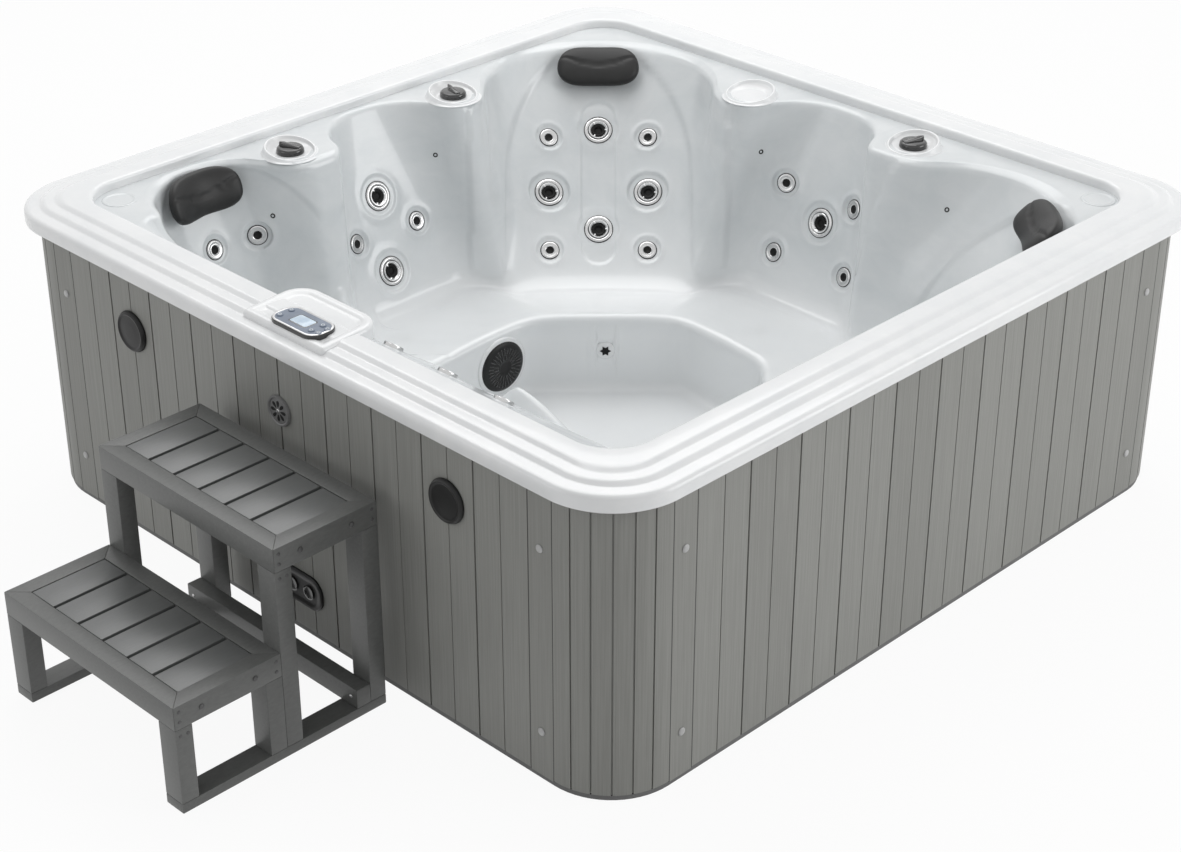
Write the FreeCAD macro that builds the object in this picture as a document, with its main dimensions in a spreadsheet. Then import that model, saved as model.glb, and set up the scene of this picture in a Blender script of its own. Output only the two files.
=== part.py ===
"""Square hot tub with a moulded shell, boarded cabinet, massage jets and entry steps.

Millimetres. The origin is on the floor under the middle of the tub, +Z is up and the front,
with the control panel and the steps, faces -Y.
"""
import FreeCAD, Part
import math
import os
import re

# Driving sizes
SIZES = {
    # Rim of the shell: a skirt and two smaller tiers that end in a flat ring
    "tub_width": 2200, "tub_height": 808, "shell_wall": 10, "skirt_bottom": 734, "skirt_radius": 190,
    "skirt_height": 57, "tier_height": 9, "tier_inset": 39, "rim_flat": 70, "rim_inner_radius": 112,
    "deck_drop": 25, "skirt_round": 16, "tier_round": 6,
    # Inside of the shell
    "footwell_floor": 85, "lip_height": 315, "lip_reach": 310, "seat_slope": 0.25, "lounge_lip": 310,
    "basin_foot_right": 790, "basin_foot_left": 640, "basin_top_left": 745, "basin_foot_far": 575,
    "basin_top_far": 900, "basin_round": 105, "footwell_round": 45, "scoop_low": 150, "back_foot": 240,
    "pad_radius": 62, "pad_rise": 8, "pad_recess_radius": 47, "cup_radius": 40, "cup_depth": 4,
    "channel_half": 55, "channel_low": 300, "channel_high": 646,
    # Cabinet
    "cabinet_width": 2140, "board_thick": 12, "board_bottom": 15, "board_tuck": 10, "corner_radius": 177,
    "strip_width": 74, "seam": 0.4, "boards_per_side": 10, "board_gap": 5, "board_gap_depth": 5,
    "bead_gap": 3, "bead_depth": 2, "slats_per_corner": 6, "slat_gap": 4, "slat_gap_depth": 4,
    "screw_radius": 10, "screw_top": 6, "screw_head": 5, "screw_low": 130, "screw_high": 599,
    # Frame and base
    "frame_bar": 50, "post_width": 110, "pan_thick": 12, "pan_inset": 3, "cradle_width": 90,
    "cradle_length": 560, "cradle_shift": 40, "cradle_pitch": 250,
    # Front fittings
    "speaker_radius": 54, "speaker_top": 44, "speaker_depth": 14, "speaker_spread": 572,
    "fitting_height": 595, "vent_radius": 39, "vent_inner": 31, "vent_depth": 9, "vent_floor": 6,
    "outlet_height": 129, "outlet_length": 78, "outlet_width": 46, "outlet_round": 41,
    "outlet_depth": 8, "outlet_shift": 38,
    # Jets: flange, barrel through the wall and turning face
    "large_flange": 41, "large_barrel": 33, "large_bore": 29, "small_flange": 26.5, "small_barrel": 18,
    "small_bore": 11, "flange_thick": 3, "barrel_length": 48, "jet_dish": 9, "dish_depth": 1.5,
    "fit_gap": 0.4, "face_depth": 14, "face_rise": 2, "nozzle_radius": 13, "face_notch": 6,
    "notch_radius": 4, "notch_count": 3,
    "suction_radius": 68, "suction_top": 54, "suction_depth": 16, "nozzle_flange": 7, "nozzle_stem": 4,
    "nozzle_thick": 1.5, "nozzle_length": 22,
    # Diverter knobs
    "stem_radius": 16, "stem_length": 60, "knob_radius": 38, "knob_top": 34, "knob_height": 17,
    "grip_length": 64, "grip_width": 15, "grip_rise": 10,
    # Control panel
    "panel_length": 166, "panel_width": 86, "panel_thick": 10, "panel_round": 34, "panel_shift": 34,
    "panel_reach": 1014, "panel_pad_length": 326, "panel_pad_inner": 880, "panel_pad_outer": 1064,
    "panel_pad_rise": 3, "panel_pad_round": 62, "panel_pad_edge": 8, "panel_sink": 4, "display_length": 56,
    "display_width": 36, "display_thick": 2, "button_radius": 8, "button_thick": 7, "button_proud": 2,
    "button_room": 2,
    # Head pillows
    "pillow_width": 242, "pillow_height": 132, "pillow_thick": 52, "pillow_waist": 20, "pillow_gap": 0.3,
    "pillow_side": 0.3, "pillow_end": 0.12,
    # Equipment behind the front panel
    "motor_radius": 82, "motor_length": 270, "wet_end_radius": 105, "wet_end_length": 110,
    "pump_start": 200, "pump_setback": 510, "pump_pitch": 250, "suction_height": 195, "box_length": 420,
    "box_width": 160, "box_height": 280, "box_shift": -300, "heater_radius": 38, "heater_length": 360,
    "blower_radius": 90, "blower_height": 170, "blower_shift": 560, "pipe_radius": 30, "pipe_turn": 500,
    "branch_radius": 25, "pipe_gap": 14, "manifold_radius": 38, "manifold_length": 700,
    "manifold_height": 470,
    # Entry steps
    "step_width": 636, "step_shift": 77, "step_gap": 53, "tread_depth": 288, "low_tread": 278,
    "high_tread": 542, "frame_height": 60, "frame_border": 44, "slat_count": 6, "tread_slat_gap": 8,
    "tread_slat_thick": 22, "leg_wide": 60, "leg_thick": 45, "rail_thick": 25, "cross_height": 50,
    "cross_depth": 40, "bolt_radius": 7, "bolt_head": 4, "bolt_share": 0.25,
}

# Seats: bearing of the back, sideways shift and where the scoop starts, then reach, half width and corner
# round at the foot and at the deck
SEATS = {
    "far": (135, 15, 0, 605, 285, 120, 1175, 335, 318),
    "left": (185, 560, 300, 800, 225, 110, 981, 210, 196),
    "right": (45, -80, 0, 640, 285, 120, 1175, 335, 318),
    "side": (180, 40, 0, 715, 260, 100, 930, 197, 184),
    "rear": (90, -30, 0, 715, 260, 100, 915, 197, 184),
}
# Jets and air nozzles as seat, sideways place on it and height
LARGE_JETS = [("far", 0, 586), ("far", 144, 451), ("far", -144, 451), ("far", 0, 370),
              ("side", 14, 556), ("side", 41, 360), ("rear", -20, 482)]
SMALL_JETS = [("far", 145, 573), ("far", -145, 573), ("far", 141, 325), ("far", -141, 325),
              ("side", -92, 459), ("side", 130, 460), ("left", -32, 566), ("left", -155, 575),
              ("rear", 124, 554), ("rear", -120, 549), ("rear", 110, 364), ("rear", -146, 371)]
AIR_NOZZLES = [("side", -178, 631), ("side", 190, 640), ("rear", 190, 641), ("rear", -190, 640),
               ("left", -190, 630), ("right", 295, 663)]
PILLOWS = [("far", 0, 714), ("left", -12, 712), ("right", 0, 716)]
# Places across a pillow where its outline is drawn, as shares of half its width
PILLOW_SHARES = (-1, -0.9, -0.62, 0, 0.62, 0.9, 1)
# Round pads on the deck; the last carries no knob
PADS = [(-824, -362), (-819, 218), (327, 837), (-231, 812)]
KNOB_PADS = 3
CUPS = [(-885, -868), (880, 890)]
FOOTWELL = [(-371, -298), (-352, 60), (-60, 355), (244, 344), (390, 190), (390, -298)]
FOOTWELL_JET_HEIGHT = 205
SUCTION_RUN = -45
LOUNGE_JETS = (-179, 21, 221)
LOUNGE_JET_HEIGHT = 510
PANEL_BUTTONS = [(-62, 17), (-62, -17), (50, 17), (50, -17), (72, 12), (72, -14)]

V = FreeCAD.Vector
UP = V(0, 0, 1)
ALONG = V(1, 0, 0)
CLOSE = 0.01

doc = FreeCAD.newDocument("HotTub")
sheet = doc.addObject("Spreadsheet::Sheet", "Sizes")
for row, (alias, value) in enumerate(SIZES.items(), start=1):
    sheet.set(f"A{row}", alias)
    sheet.set(f"B{row}", str(value))
    sheet.setAlias(f"B{row}", alias)
doc.recompute()
nodes = []


def size(alias):
    return float(sheet.get(alias))


def linked(text):
    """Expression in which each size's name points at its cell."""
    return re.sub(r"[a-z_]+", lambda word: "Sizes." + word[0] if word[0] in SIZES else word[0], text)


def bind(thing, **expressions):
    for name, text in expressions.items():
        thing.setExpression(name.replace("__", "."), linked(text))
    return thing


def place(thing, x="0", y="0", z="0"):
    return bind(thing, Placement__Base__x=x, Placement__Base__y=y, Placement__Base__z=z)


def box(length, width, height, x="0", y="0", z="0"):
    block = doc.addObject("Part::Box", "Block")
    bind(block, Length=length, Width=width, Height=height)
    return place(block, x, y, z)


def cylinder(radius, height, x="0", y="0", z="0"):
    drum = doc.addObject("Part::Cylinder", "Drum")
    bind(drum, Radius=radius, Height=height)
    return place(drum, x, y, z)


def cone(low_radius, high_radius, height, z="0"):
    drum = doc.addObject("Part::Cone", "Taper")
    bind(drum, Radius1=low_radius, Radius2=high_radius, Height=height)
    return place(drum, z=z)


def fuse(*things):
    joined = doc.addObject("Part::MultiFuse", "Joined")
    joined.Shapes = list(things)
    return joined


def cut(base, *tools):
    for tool in tools:
        left_over = doc.addObject("Part::Cut", "Trimmed")
        left_over.Base = base
        left_over.Tool = tool
        base = left_over
    return base


def node(thing, label):
    thing.Label = label
    nodes.append(thing)
    return thing


def group(label, members):
    bundle = doc.addObject("Part::Compound", "Bundle")
    bundle.Links = list(members)
    return node(bundle, label)


def solid_feature(shape, label=None):
    feature = doc.addObject("Part::Feature", "Form")
    feature.Shape = shape
    return node(feature, label) if label else feature


def copy_at(pattern, placement, label=None):
    """Another of the same piece, moved from the origin to its own place."""
    doc.recompute()
    twin = solid_feature(pattern.Shape.copy(), label)
    twin.Placement = placement
    return twin


# Outlines and lofts of the shell

def rounded_wire(corners, z):
    """Closed outline at height z; each corner is x, y and radius."""
    bends = []
    for index, (x, y, radius) in enumerate(corners):
        here = V(x, y, z)
        behind = (V(*corners[index - 1][:2], z) - here).normalize()
        ahead = (V(*corners[(index + 1) % len(corners)][:2], z) - here).normalize()
        half = behind.getAngle(ahead) / 2
        run = radius / math.tan(half)
        inward = (behind + ahead).normalize()
        middle = here + inward * (radius / math.sin(half) - radius)
        bends.append((here + behind * run, middle, here + ahead * run))
    edges = []
    for index, (start, middle, end) in enumerate(bends):
        if corners[index][2] > 0:
            edges.append(Part.Arc(start, middle, end).toShape())
        edges.append(Part.makeLine(end, bends[(index + 1) % len(bends)][0]))
    return Part.Wire(edges)


def square(half, radius, z):
    return oblong(half, half, radius, 0, 0, z)


def oblong(half_length, half_width, radius, x, y, z):
    left, right, front, rear = x - half_length, x + half_length, y - half_width, y + half_width
    outline = [(left, front), (right, front), (right, rear), (left, rear)]
    return rounded_wire([(*corner, radius) for corner in outline], z)


def slab(wire, height):
    return Part.Face(wire).extrude(UP * height)


def deck_height():
    return size("tub_height") - size("deck_drop")


def seat_section(seat, z):
    """Reach, half width and corner round of a seat at height z, straight from foot to deck."""
    foot_values = SEATS[seat][3:6]
    deck_values = SEATS[seat][6:9]
    share = (z - size("back_foot")) / (deck_height() - size("back_foot"))
    return [low + (high - low) * share for low, high in zip(foot_values, deck_values)]


def seat_axes(seat):
    bearing = math.radians(SEATS[seat][0])
    outward = V(math.cos(bearing), math.sin(bearing), 0)
    return outward, UP.cross(outward)


def seat_wire(seat, z, section_z, grow):
    reach, half, radius = seat_section(seat, section_z)
    outward, across = seat_axes(seat)
    shift, start = SEATS[seat][1:3]
    middle = across * shift
    near, end = start - grow, reach + grow
    corners = []
    for along, side, bend in ((near, -1, 0), (end, -1, radius), (end, 1, radius), (near, 1, 0)):
        corner = middle + outward * along + across * (side * (half + grow))
        corners.append((corner.x, corner.y, bend + grow if bend else 0))
    return rounded_wire(corners, z)


def seat_scoop(seat, top, grow):
    deck = deck_height()
    low = size("scoop_low")
    wires = [seat_wire(seat, low - grow, low, grow), seat_wire(seat, deck, deck, grow)]
    if top > deck:
        wires.append(seat_wire(seat, top, deck, grow))
    return Part.makeLoft(wires, True, True)


def seat_spot(seat, sideways, z):
    """Placement on a seat's back, its own +Z square to the surface and +Y up the slope."""
    outward, across = seat_axes(seat)

    def depth(offset, height):
        far, wide, bend = seat_section(seat, height)
        beyond = max(0.0, abs(offset) - (wide - bend))
        return far - bend + math.sqrt(bend * bend - beyond * beyond)
    step = 0.5
    lean = (depth(sideways, z + step) - depth(sideways, z - step)) / (2 * step)
    turn = (depth(sideways + step, z) - depth(sideways - step, z)) / (2 * step)
    normal = (across * turn + UP * lean - outward).normalize()
    right = UP.cross(normal).normalize()
    rise = normal.cross(right)
    point = outward * depth(sideways, z) + across * (SEATS[seat][1] + sideways) + UP * z
    return FreeCAD.Placement(point, FreeCAD.Rotation(right, rise, normal, "ZXY"))


def rim_inner():
    return size("tub_width") / 2 - 2 * size("tier_inset") - size("rim_flat")


def between(low, high, share):
    return low + (high - low) * share


def basin_edges(z):
    """Left, right, front, rear and far corner of the open basin at height z; the lounge side leans most."""
    deck = deck_height()
    share = (z - size("back_foot")) / (deck - size("back_foot"))
    lounge_share = (z - size("lip_height")) / (deck - size("lip_height"))
    left = -between(size("basin_foot_left"), size("basin_top_left"), share)
    right = between(size("basin_foot_right"), rim_inner(), share)
    front = -between(size("lounge_lip"), rim_inner(), lounge_share)
    corner = between(size("basin_foot_far"), size("basin_top_far"), share)
    return left, right, front, -left, corner


def basin_wire(z, section_z, grow):
    """Outline of the basin, its far left corner cut off in front of the far seat."""
    left, right, front, rear, corner = basin_edges(section_z)
    left, right, front, rear, corner = left - grow, right + grow, front - grow, rear + grow, corner + grow
    cut_off = rear - left - corner * math.sqrt(2)
    bend = size("basin_round") + grow
    outline = [(left, front), (right, front), (right, rear), (left + cut_off, rear), (left, rear - cut_off)]
    return rounded_wire([(x, y, bend) for x, y in outline], z)


def basin(top, grow):
    deck = deck_height()
    low = size("scoop_low")
    wires = [basin_wire(low - grow, low, grow), basin_wire(deck, deck, grow)]
    if top > deck:
        wires.append(basin_wire(top, deck, grow))
    return Part.makeLoft(wires, True, True)


def seat_floor(drop):
    """Ground under the seats: flat, with a shallow cone that rises to the footwell's lip."""
    flat = size("lip_reach")
    far = size("tub_width")
    top = size("lip_height") - drop
    fall = size("lip_height") - size("back_foot")
    hill = Part.makeCone(flat + fall / size("seat_slope"), flat, fall, V(0, 0, top - fall))
    return hill.fuse(Part.makeBox(2 * far, 2 * far, far, V(-far, -far, top - fall - far)))


def footwell(top, grow):
    bend = size("footwell_round")
    outline = rounded_wire([(x, y, bend) for x, y in FOOTWELL], size("footwell_floor") - grow)
    wire = outline.makeOffset2D(grow) if grow else outline
    return slab(wire, top - size("footwell_floor") + grow)


def hollow(top, grow, drop):
    """Everything inside the shell, or with grow the same outline one wall further out."""
    scoops = [seat_scoop(seat, top, grow) for seat in SEATS]
    room = basin(top, grow).multiFuse(scoops)
    return room.cut(seat_floor(drop)).fuse(footwell(size("lip_height") + 1, grow))


def is_crest(edge, top, half):
    """True for an outer top edge of the tier that ends at this height and half width."""
    extent = edge.BoundBox
    level = abs(extent.ZMin - top) < CLOSE and abs(extent.ZMax - top) < CLOSE
    reach = max(abs(extent.XMin), abs(extent.XMax), abs(extent.YMin), abs(extent.YMax))
    return level and abs(reach - half) < CLOSE


def skirt_top():
    return size("skirt_bottom") + size("skirt_height")


def rim():
    """Hollow rolled rim in three tiers, with the deck inside its flat ring."""
    half = size("tub_width") / 2
    wall = size("shell_wall")
    inset = size("tier_inset")
    radius = size("skirt_radius")
    bottom = size("skirt_bottom")
    tops = [skirt_top(), skirt_top() + size("tier_height"), size("tub_height")]
    outside = slab(square(half, radius, bottom), tops[0] - bottom)
    inside = slab(square(half - wall, radius - wall, bottom), tops[0] - wall - bottom)
    for tier in (1, 2):
        edge = half - tier * inset
        bend = radius - tier * inset
        outside = outside.fuse(slab(square(edge, bend, tops[tier - 1]), tops[tier] - tops[tier - 1]))
        low = tops[tier - 1] - wall
        inside = inside.fuse(slab(square(edge - wall, bend - wall, low), tops[tier] - wall - low))
    outside = outside.removeSplitter()
    for tier, bend in enumerate((size("skirt_round"), size("tier_round"), size("tier_round"))):
        crest = [edge for edge in outside.Edges if is_crest(edge, tops[tier], half - tier * inset)]
        outside = outside.makeFillet(bend, crest)
    inner = rim_inner()
    deck = deck_height()
    ring = slab(square(inner + wall, size("rim_inner_radius") + wall, deck - wall), tops[2] - deck + wall)
    well = slab(square(inner, size("rim_inner_radius"), deck), tops[2] - deck)
    return outside.cut(inside).fuse(ring).cut(well).removeSplitter()


def jet_spots():
    """Placement, flange and barrel of every jet on the shell."""
    spots = [(seat_spot(*mark), size("large_flange"), size("large_barrel")) for mark in LARGE_JETS]
    spots += [(spot, size("small_flange"), size("small_barrel")) for spot in small_spots()]
    return spots


def small_spots():
    spots = [seat_spot(*mark) for mark in SMALL_JETS]
    spots += [lounge_spot(x) for x in LOUNGE_JETS]
    spots.append(footwell_spot())
    return spots


def lounge_spot(x):
    front = basin_edges(LOUNGE_JET_HEIGHT)[2]
    lean = basin_edges(LOUNGE_JET_HEIGHT - 1)[2] - front
    normal = V(0, 1, lean).normalize()
    return FreeCAD.Placement(V(x, front, LOUNGE_JET_HEIGHT), FreeCAD.Rotation(-ALONG, V(), normal, "ZXY"))


def footwell_spot():
    near, far = V(*FOOTWELL[1], 0), V(*FOOTWELL[2], 0)
    normal = (far - near).cross(UP).normalize()
    middle = (near + far) / 2 + UP * FOOTWELL_JET_HEIGHT
    return FreeCAD.Placement(middle, FreeCAD.Rotation(UP.cross(normal), V(), normal, "ZXY"))


def suction_spot():
    near, far = V(*FOOTWELL[0], 0), V(*FOOTWELL[1], 0)
    along = (far - near).normalize()
    point = near + along * ((SUCTION_RUN - near.y) / along.y) + UP * size("suction_height")
    normal = along.cross(UP).normalize()
    return FreeCAD.Placement(point, FreeCAD.Rotation(UP.cross(normal), V(), normal, "ZXY"))


def drilled(spot, flange, barrel):
    """Tool for a flat dish and the hole for a barrel."""
    wall = size("shell_wall")
    deep = size("barrel_length") + wall
    tool = Part.makeCylinder(flange + size("jet_dish"), 4 * wall, -UP * size("dish_depth"))
    tool = tool.fuse(Part.makeCylinder(barrel + size("fit_gap"), deep + wall, -UP * deep))
    tool.Placement = spot
    return tool


def nozzle_hole(spot):
    deep = size("nozzle_length") + size("shell_wall")
    tool = Part.makeCylinder(size("nozzle_stem") + size("fit_gap"), deep + size("shell_wall"), -UP * deep)
    tool = tool.fuse(Part.makeCylinder(size("nozzle_flange") + size("fit_gap"), size("shell_wall")))
    tool.Placement = spot
    return tool


def seat_channel():
    """Tool for the shallow upright channel in the back of the far seat, as deep as a jet's dish."""
    low, high = seat_spot("far", 0, size("channel_low")), seat_spot("far", 0, size("channel_high"))
    half = size("channel_half")
    long = (high.Base - low.Base).Length / 2
    tool = slab(oblong(half, long, half - CLOSE, 0, 0, -size("dish_depth")), 4 * size("shell_wall"))
    tool.Placement = FreeCAD.Placement((low.Base + high.Base) / 2, low.Rotation)
    return tool


def panel_pad_wire(z):
    left = size("panel_shift") - size("panel_pad_length") / 2
    right = left + size("panel_pad_length")
    inner, outer = -size("panel_pad_inner"), -size("panel_pad_outer")
    bend, edge = size("panel_pad_round"), size("panel_pad_edge")
    corners = [(left, outer, edge), (right, outer, edge), (right, inner, bend), (left, inner, bend)]
    return rounded_wire(corners, z)


def panel_outline(grow, z):
    length = size("panel_length") / 2 + grow
    width = size("panel_width") / 2 + grow
    return oblong(length, width, size("panel_round") + grow, size("panel_shift"), -size("panel_reach"), z)


def panel_floor():
    return size("tub_height") + size("panel_pad_rise") - size("panel_sink")


def acrylic_shell():
    deck = deck_height()
    wall = size("shell_wall")
    above = size("tub_height") + 2 * wall
    body = rim().fuse(hollow(deck, wall, wall)).cut(hollow(above, 0, 0))
    thick = wall + size("pad_rise")
    pads = [Part.makeCylinder(size("pad_radius"), thick, V(x, y, deck - wall)) for x, y in PADS]
    pad_low = skirt_top() - wall
    pads.append(slab(panel_pad_wire(pad_low), size("tub_height") + size("panel_pad_rise") - pad_low))
    body = body.multiFuse(pads)
    stem = size("stem_radius") + size("fit_gap")
    tools = [Part.makeCylinder(size("pad_recess_radius"), wall, V(x, y, deck)) for x, y in PADS]
    tools += [Part.makeCylinder(stem, 4 * wall, V(x, y, deck - 2 * wall)) for x, y in PADS[:KNOB_PADS]]
    tools += [Part.makeCylinder(size("cup_radius"), wall, V(x, y, deck - size("cup_depth"))) for x, y in CUPS]
    tools.append(slab(panel_outline(size("fit_gap"), panel_floor()), 4 * wall))
    tools.append(seat_channel())
    tools += [drilled(*spot) for spot in jet_spots()]
    tools += [nozzle_hole(seat_spot(*mark)) for mark in AIR_NOZZLES]
    return solid_feature(body.cut(tools).removeSplitter(), "acrylic_shell")


# Cabinet

def plane(body, role):
    return next(item for item in body.Origin.OriginFeatures if item.Role == role)


def plank(body, width, depth, height):
    """Upright additive box that starts at the body's corner."""
    block = body.newObject("PartDesign::AdditiveBox", "Plank")
    return bind(block, Length=width, Width=depth, Height=height)


def row_of_grooves(body, first, width, depth, pitch, count, height):
    """Straight grooves in the outer face, one cut repeated along the board run."""
    groove = body.newObject("PartDesign::SubtractiveBox", "Groove")
    bind(groove, Length=width, Width=depth, Height=height)
    groove.AttachmentOffset = FreeCAD.Placement()
    groove.AttachmentSupport = [(plane(body, "XY_Plane"), "")]
    groove.MapMode = "FlatFace"
    groove.setExpression("AttachmentOffset.Base.x", linked(first))
    doc.recompute()
    run = body.newObject("PartDesign::LinearPattern", "Grooves")
    run.Originals = [groove]
    run.Direction = (plane(body, "X_Axis"), [""])
    bind(run, Length=f"({pitch}) * (({count}) - 1)", Occurrences=count)
    body.Tip = run
    doc.recompute()
    return run


BOARD_HEIGHT = "skirt_bottom + board_tuck - board_bottom"
PANEL_RUN = "cabinet_width - 2 * (corner_radius + strip_width + seam)"
BOARD_PITCH = f"({PANEL_RUN}) / boards_per_side"


def side_panel(label, turn):
    body = doc.addObject("PartDesign::Body", "Panel")
    plank(body, PANEL_RUN, "board_thick", BOARD_HEIGHT)
    row_of_grooves(body, f"{BOARD_PITCH} - board_gap / 2", "board_gap", "board_gap_depth", BOARD_PITCH,
                   "boards_per_side - 1", BOARD_HEIGHT)
    row_of_grooves(body, f"({BOARD_PITCH} - bead_gap) / 2", "bead_gap", "bead_depth", BOARD_PITCH,
                   "boards_per_side", BOARD_HEIGHT)
    half = size("cabinet_width") / 2
    start = V(-half + size("corner_radius") + size("strip_width") + size("seam"), -half, size("board_bottom"))
    spin = FreeCAD.Rotation(UP, turn)
    body.Placement = FreeCAD.Placement(spin.multVec(start), spin)
    return node(body, label)


def corner_cover(label, turn):
    """Quarter round of narrow slats."""
    outer = cylinder("corner_radius", BOARD_HEIGHT)
    outer.Angle = 90
    inner = cylinder("corner_radius - board_thick", BOARD_HEIGHT)
    inner.Angle = 90
    cover = cut(outer, inner)
    slats = int(size("slats_per_corner"))
    for index in range(1, slats):
        turn_to = 90 * index / slats
        slot = doc.addObject("Part::Box", "Slot")
        bind(slot, Length="slat_gap_depth * 2", Width="slat_gap", Height=BOARD_HEIGHT)
        corner = V(size("corner_radius") - size("slat_gap_depth"), -size("slat_gap") / 2, 0)
        spin = FreeCAD.Rotation(UP, turn_to)
        slot.Placement = FreeCAD.Placement(spin.multVec(corner), spin)
        cover = cut(cover, slot)
    reach = size("cabinet_width") / 2 - size("corner_radius")
    spin = FreeCAD.Rotation(UP, turn)
    cover.Placement = FreeCAD.Placement(spin.multVec(V(reach, reach, size("board_bottom"))), spin)
    return node(cover, label)


def strip_places():
    """Turn and run along the side of each strip's middle."""
    middle = size("cabinet_width") / 2 - size("corner_radius") - size("strip_width") / 2
    return [(turn, side * middle) for turn in (0, 90, 180, 270) for side in (-1, 1)]


def turned(shape, turn):
    return shape.rotated(V(), UP, turn)


def panel_strips():
    wide = size("strip_width") - 2 * size("seam")
    half = size("cabinet_width") / 2
    tall = size("skirt_bottom") + size("board_tuck")
    strips = []
    for turn, run in strip_places():
        bar = Part.makeBox(wide, size("board_thick"), tall - size("pan_thick"),
                           V(run - wide / 2, -half, size("pan_thick")))
        strips.append(solid_feature(turned(bar, turn)))
    return group("panel_strips", strips)


def strip_screws():
    half_head = "screw_head / 2"
    screw = fuse(cylinder("screw_radius", half_head), cone("screw_radius", "screw_top", half_head, half_head))
    outwards = FreeCAD.Rotation(ALONG, 90)
    screws = []
    for turn, run in strip_places():
        spin = FreeCAD.Rotation(UP, turn)
        for height in (size("screw_low"), size("screw_high")):
            spot = spin.multVec(V(run, -size("cabinet_width") / 2, height))
            screws.append(copy_at(screw, FreeCAD.Placement(spot, spin * outwards)))
    return group("strip_screws", screws)


def frame_bars():
    """Posts behind the strips, with rails along the floor and under the rim."""
    outer = size("cabinet_width") / 2 - size("board_thick")
    bar = size("frame_bar")
    top = skirt_top() - size("shell_wall")
    low = size("pan_thick")
    span = 2 * (size("cabinet_width") / 2 - size("corner_radius"))
    posts, low_rails, high_rails = [], [], []
    for turn in (0, 90, 180, 270):
        for rails, z in ((low_rails, low), (high_rails, top - bar)):
            rail = Part.makeBox(span, bar, bar, V(-span / 2, -outer, z))
            rails.append(solid_feature(turned(rail, turn)))
        for side in (-1, 1):
            width = size("post_width")
            x = span / 2 - width if side > 0 else -span / 2
            post = Part.makeBox(width, bar, top - 2 * bar - low, V(x, -outer, low + bar))
            posts.append(solid_feature(turned(post, turn)))
    group("frame_posts", posts)
    group("bottom_rails", low_rails)
    group("top_rails", high_rails)


def base_pan():
    half = size("cabinet_width") / 2 - size("pan_inset")
    return solid_feature(slab(square(half, size("corner_radius"), 0), size("pan_thick")), "base_pan")


def footwell_cradle():
    """Bearers that carry the footwell on the base pan."""
    height = "footwell_floor - shell_wall - pan_thick"
    front = "cradle_shift - cradle_length / 2"
    bearers = []
    for side in (-1, 0, 1):
        left = f"{side} * cradle_pitch - cradle_width / 2"
        bearers.append(box("cradle_width", "cradle_length", height, left, front, "pan_thick"))
    return group("footwell_cradle", bearers)


def facing_front(thing, x, height, label=None):
    """Stand a fitting on the front panel, its own +Z pointing away from the tub."""
    spot = FreeCAD.Placement(V(x, -size("cabinet_width") / 2, height), FreeCAD.Rotation(ALONG, 90))
    return copy_at(thing, spot, label)


def front_fittings():
    half = "speaker_depth / 2"
    speaker = fuse(cylinder("speaker_radius", half), cone("speaker_radius", "speaker_top", half, half))
    for label, side in (("speaker_left", -1), ("speaker_right", 1)):
        facing_front(speaker, side * size("speaker_spread"), size("fitting_height"), label)
    vent = cut(cylinder("vent_radius", "vent_depth"), cylinder("vent_inner", "vent_depth", z="vent_floor"))
    facing_front(vent, 0, size("fitting_height"), "cabinet_vent")
    outline = oblong(size("outlet_length"), size("outlet_width"), size("outlet_round"), 0, 0, 0)
    oval = slab(outline, size("outlet_depth"))
    facing_front(solid_feature(oval), size("outlet_shift"), size("outlet_height"), "outlet_plate")


# Jets and knobs

def jet_body(flange, barrel, bore):
    """Tapered flange on the dish with a closed barrel behind it."""
    flat = "-dish_depth"
    end = f"{flat} - barrel_length"
    ring = cone(flange, f"{flange} - flange_thick", "flange_thick", flat)
    ring = fuse(ring, cylinder(barrel, "barrel_length", z=end))
    return cut(ring, cylinder(bore, "barrel_length + flange_thick", z=f"{end} + shell_wall"))


def large_jet_face():
    """Turning face with a funnel that leads into its nozzle, and finger notches round its edge."""
    radius = "large_bore - fit_gap"
    top = "flange_thick - dish_depth + face_rise"
    face = cylinder(radius, "face_depth", z=f"{top} - face_depth")
    nozzle = cylinder("nozzle_radius", "face_depth", z=f"{top} - face_depth + face_notch")
    mouth = f"{radius} - face_rise - notch_radius"
    funnel = cone("nozzle_radius", mouth, "face_notch", f"{top} - face_notch")
    notches = []
    for index in range(int(size("notch_count"))):
        turn = 2 * math.pi * index / size("notch_count")
        x, y = f"({radius}) * {math.sin(turn)}", f"({radius}) * {math.cos(turn)}"
        notches.append(cylinder("notch_radius", "face_notch", x, y, f"{top} - face_rise"))
    return cut(face, nozzle, funnel, *notches)


def jets():
    pattern = jet_body("large_flange", "large_barrel", "large_bore")
    face = large_jet_face()
    small = jet_body("small_flange", "small_barrel", "small_bore")
    doc.recompute()
    bodies = []
    for number, mark in enumerate(LARGE_JETS, start=1):
        bodies.append(copy_at(pattern, seat_spot(*mark)))
        copy_at(face, seat_spot(*mark), f"large_jet_face_{number}")
    group("large_jet_bodies", bodies)
    group("small_jets", [copy_at(small, spot) for spot in small_spots()])
    half = "suction_depth / 2"
    cover = fuse(cylinder("suction_radius", half), cone("suction_radius", "suction_top", half, half))
    copy_at(cover, suction_spot(), "suction_cover")
    nozzle = fuse(cylinder("nozzle_flange", "nozzle_thick"),
                  cylinder("nozzle_stem", "nozzle_length", z="-nozzle_length"))
    group("air_nozzles", [copy_at(nozzle, seat_spot(*mark)) for mark in AIR_NOZZLES])


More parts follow.
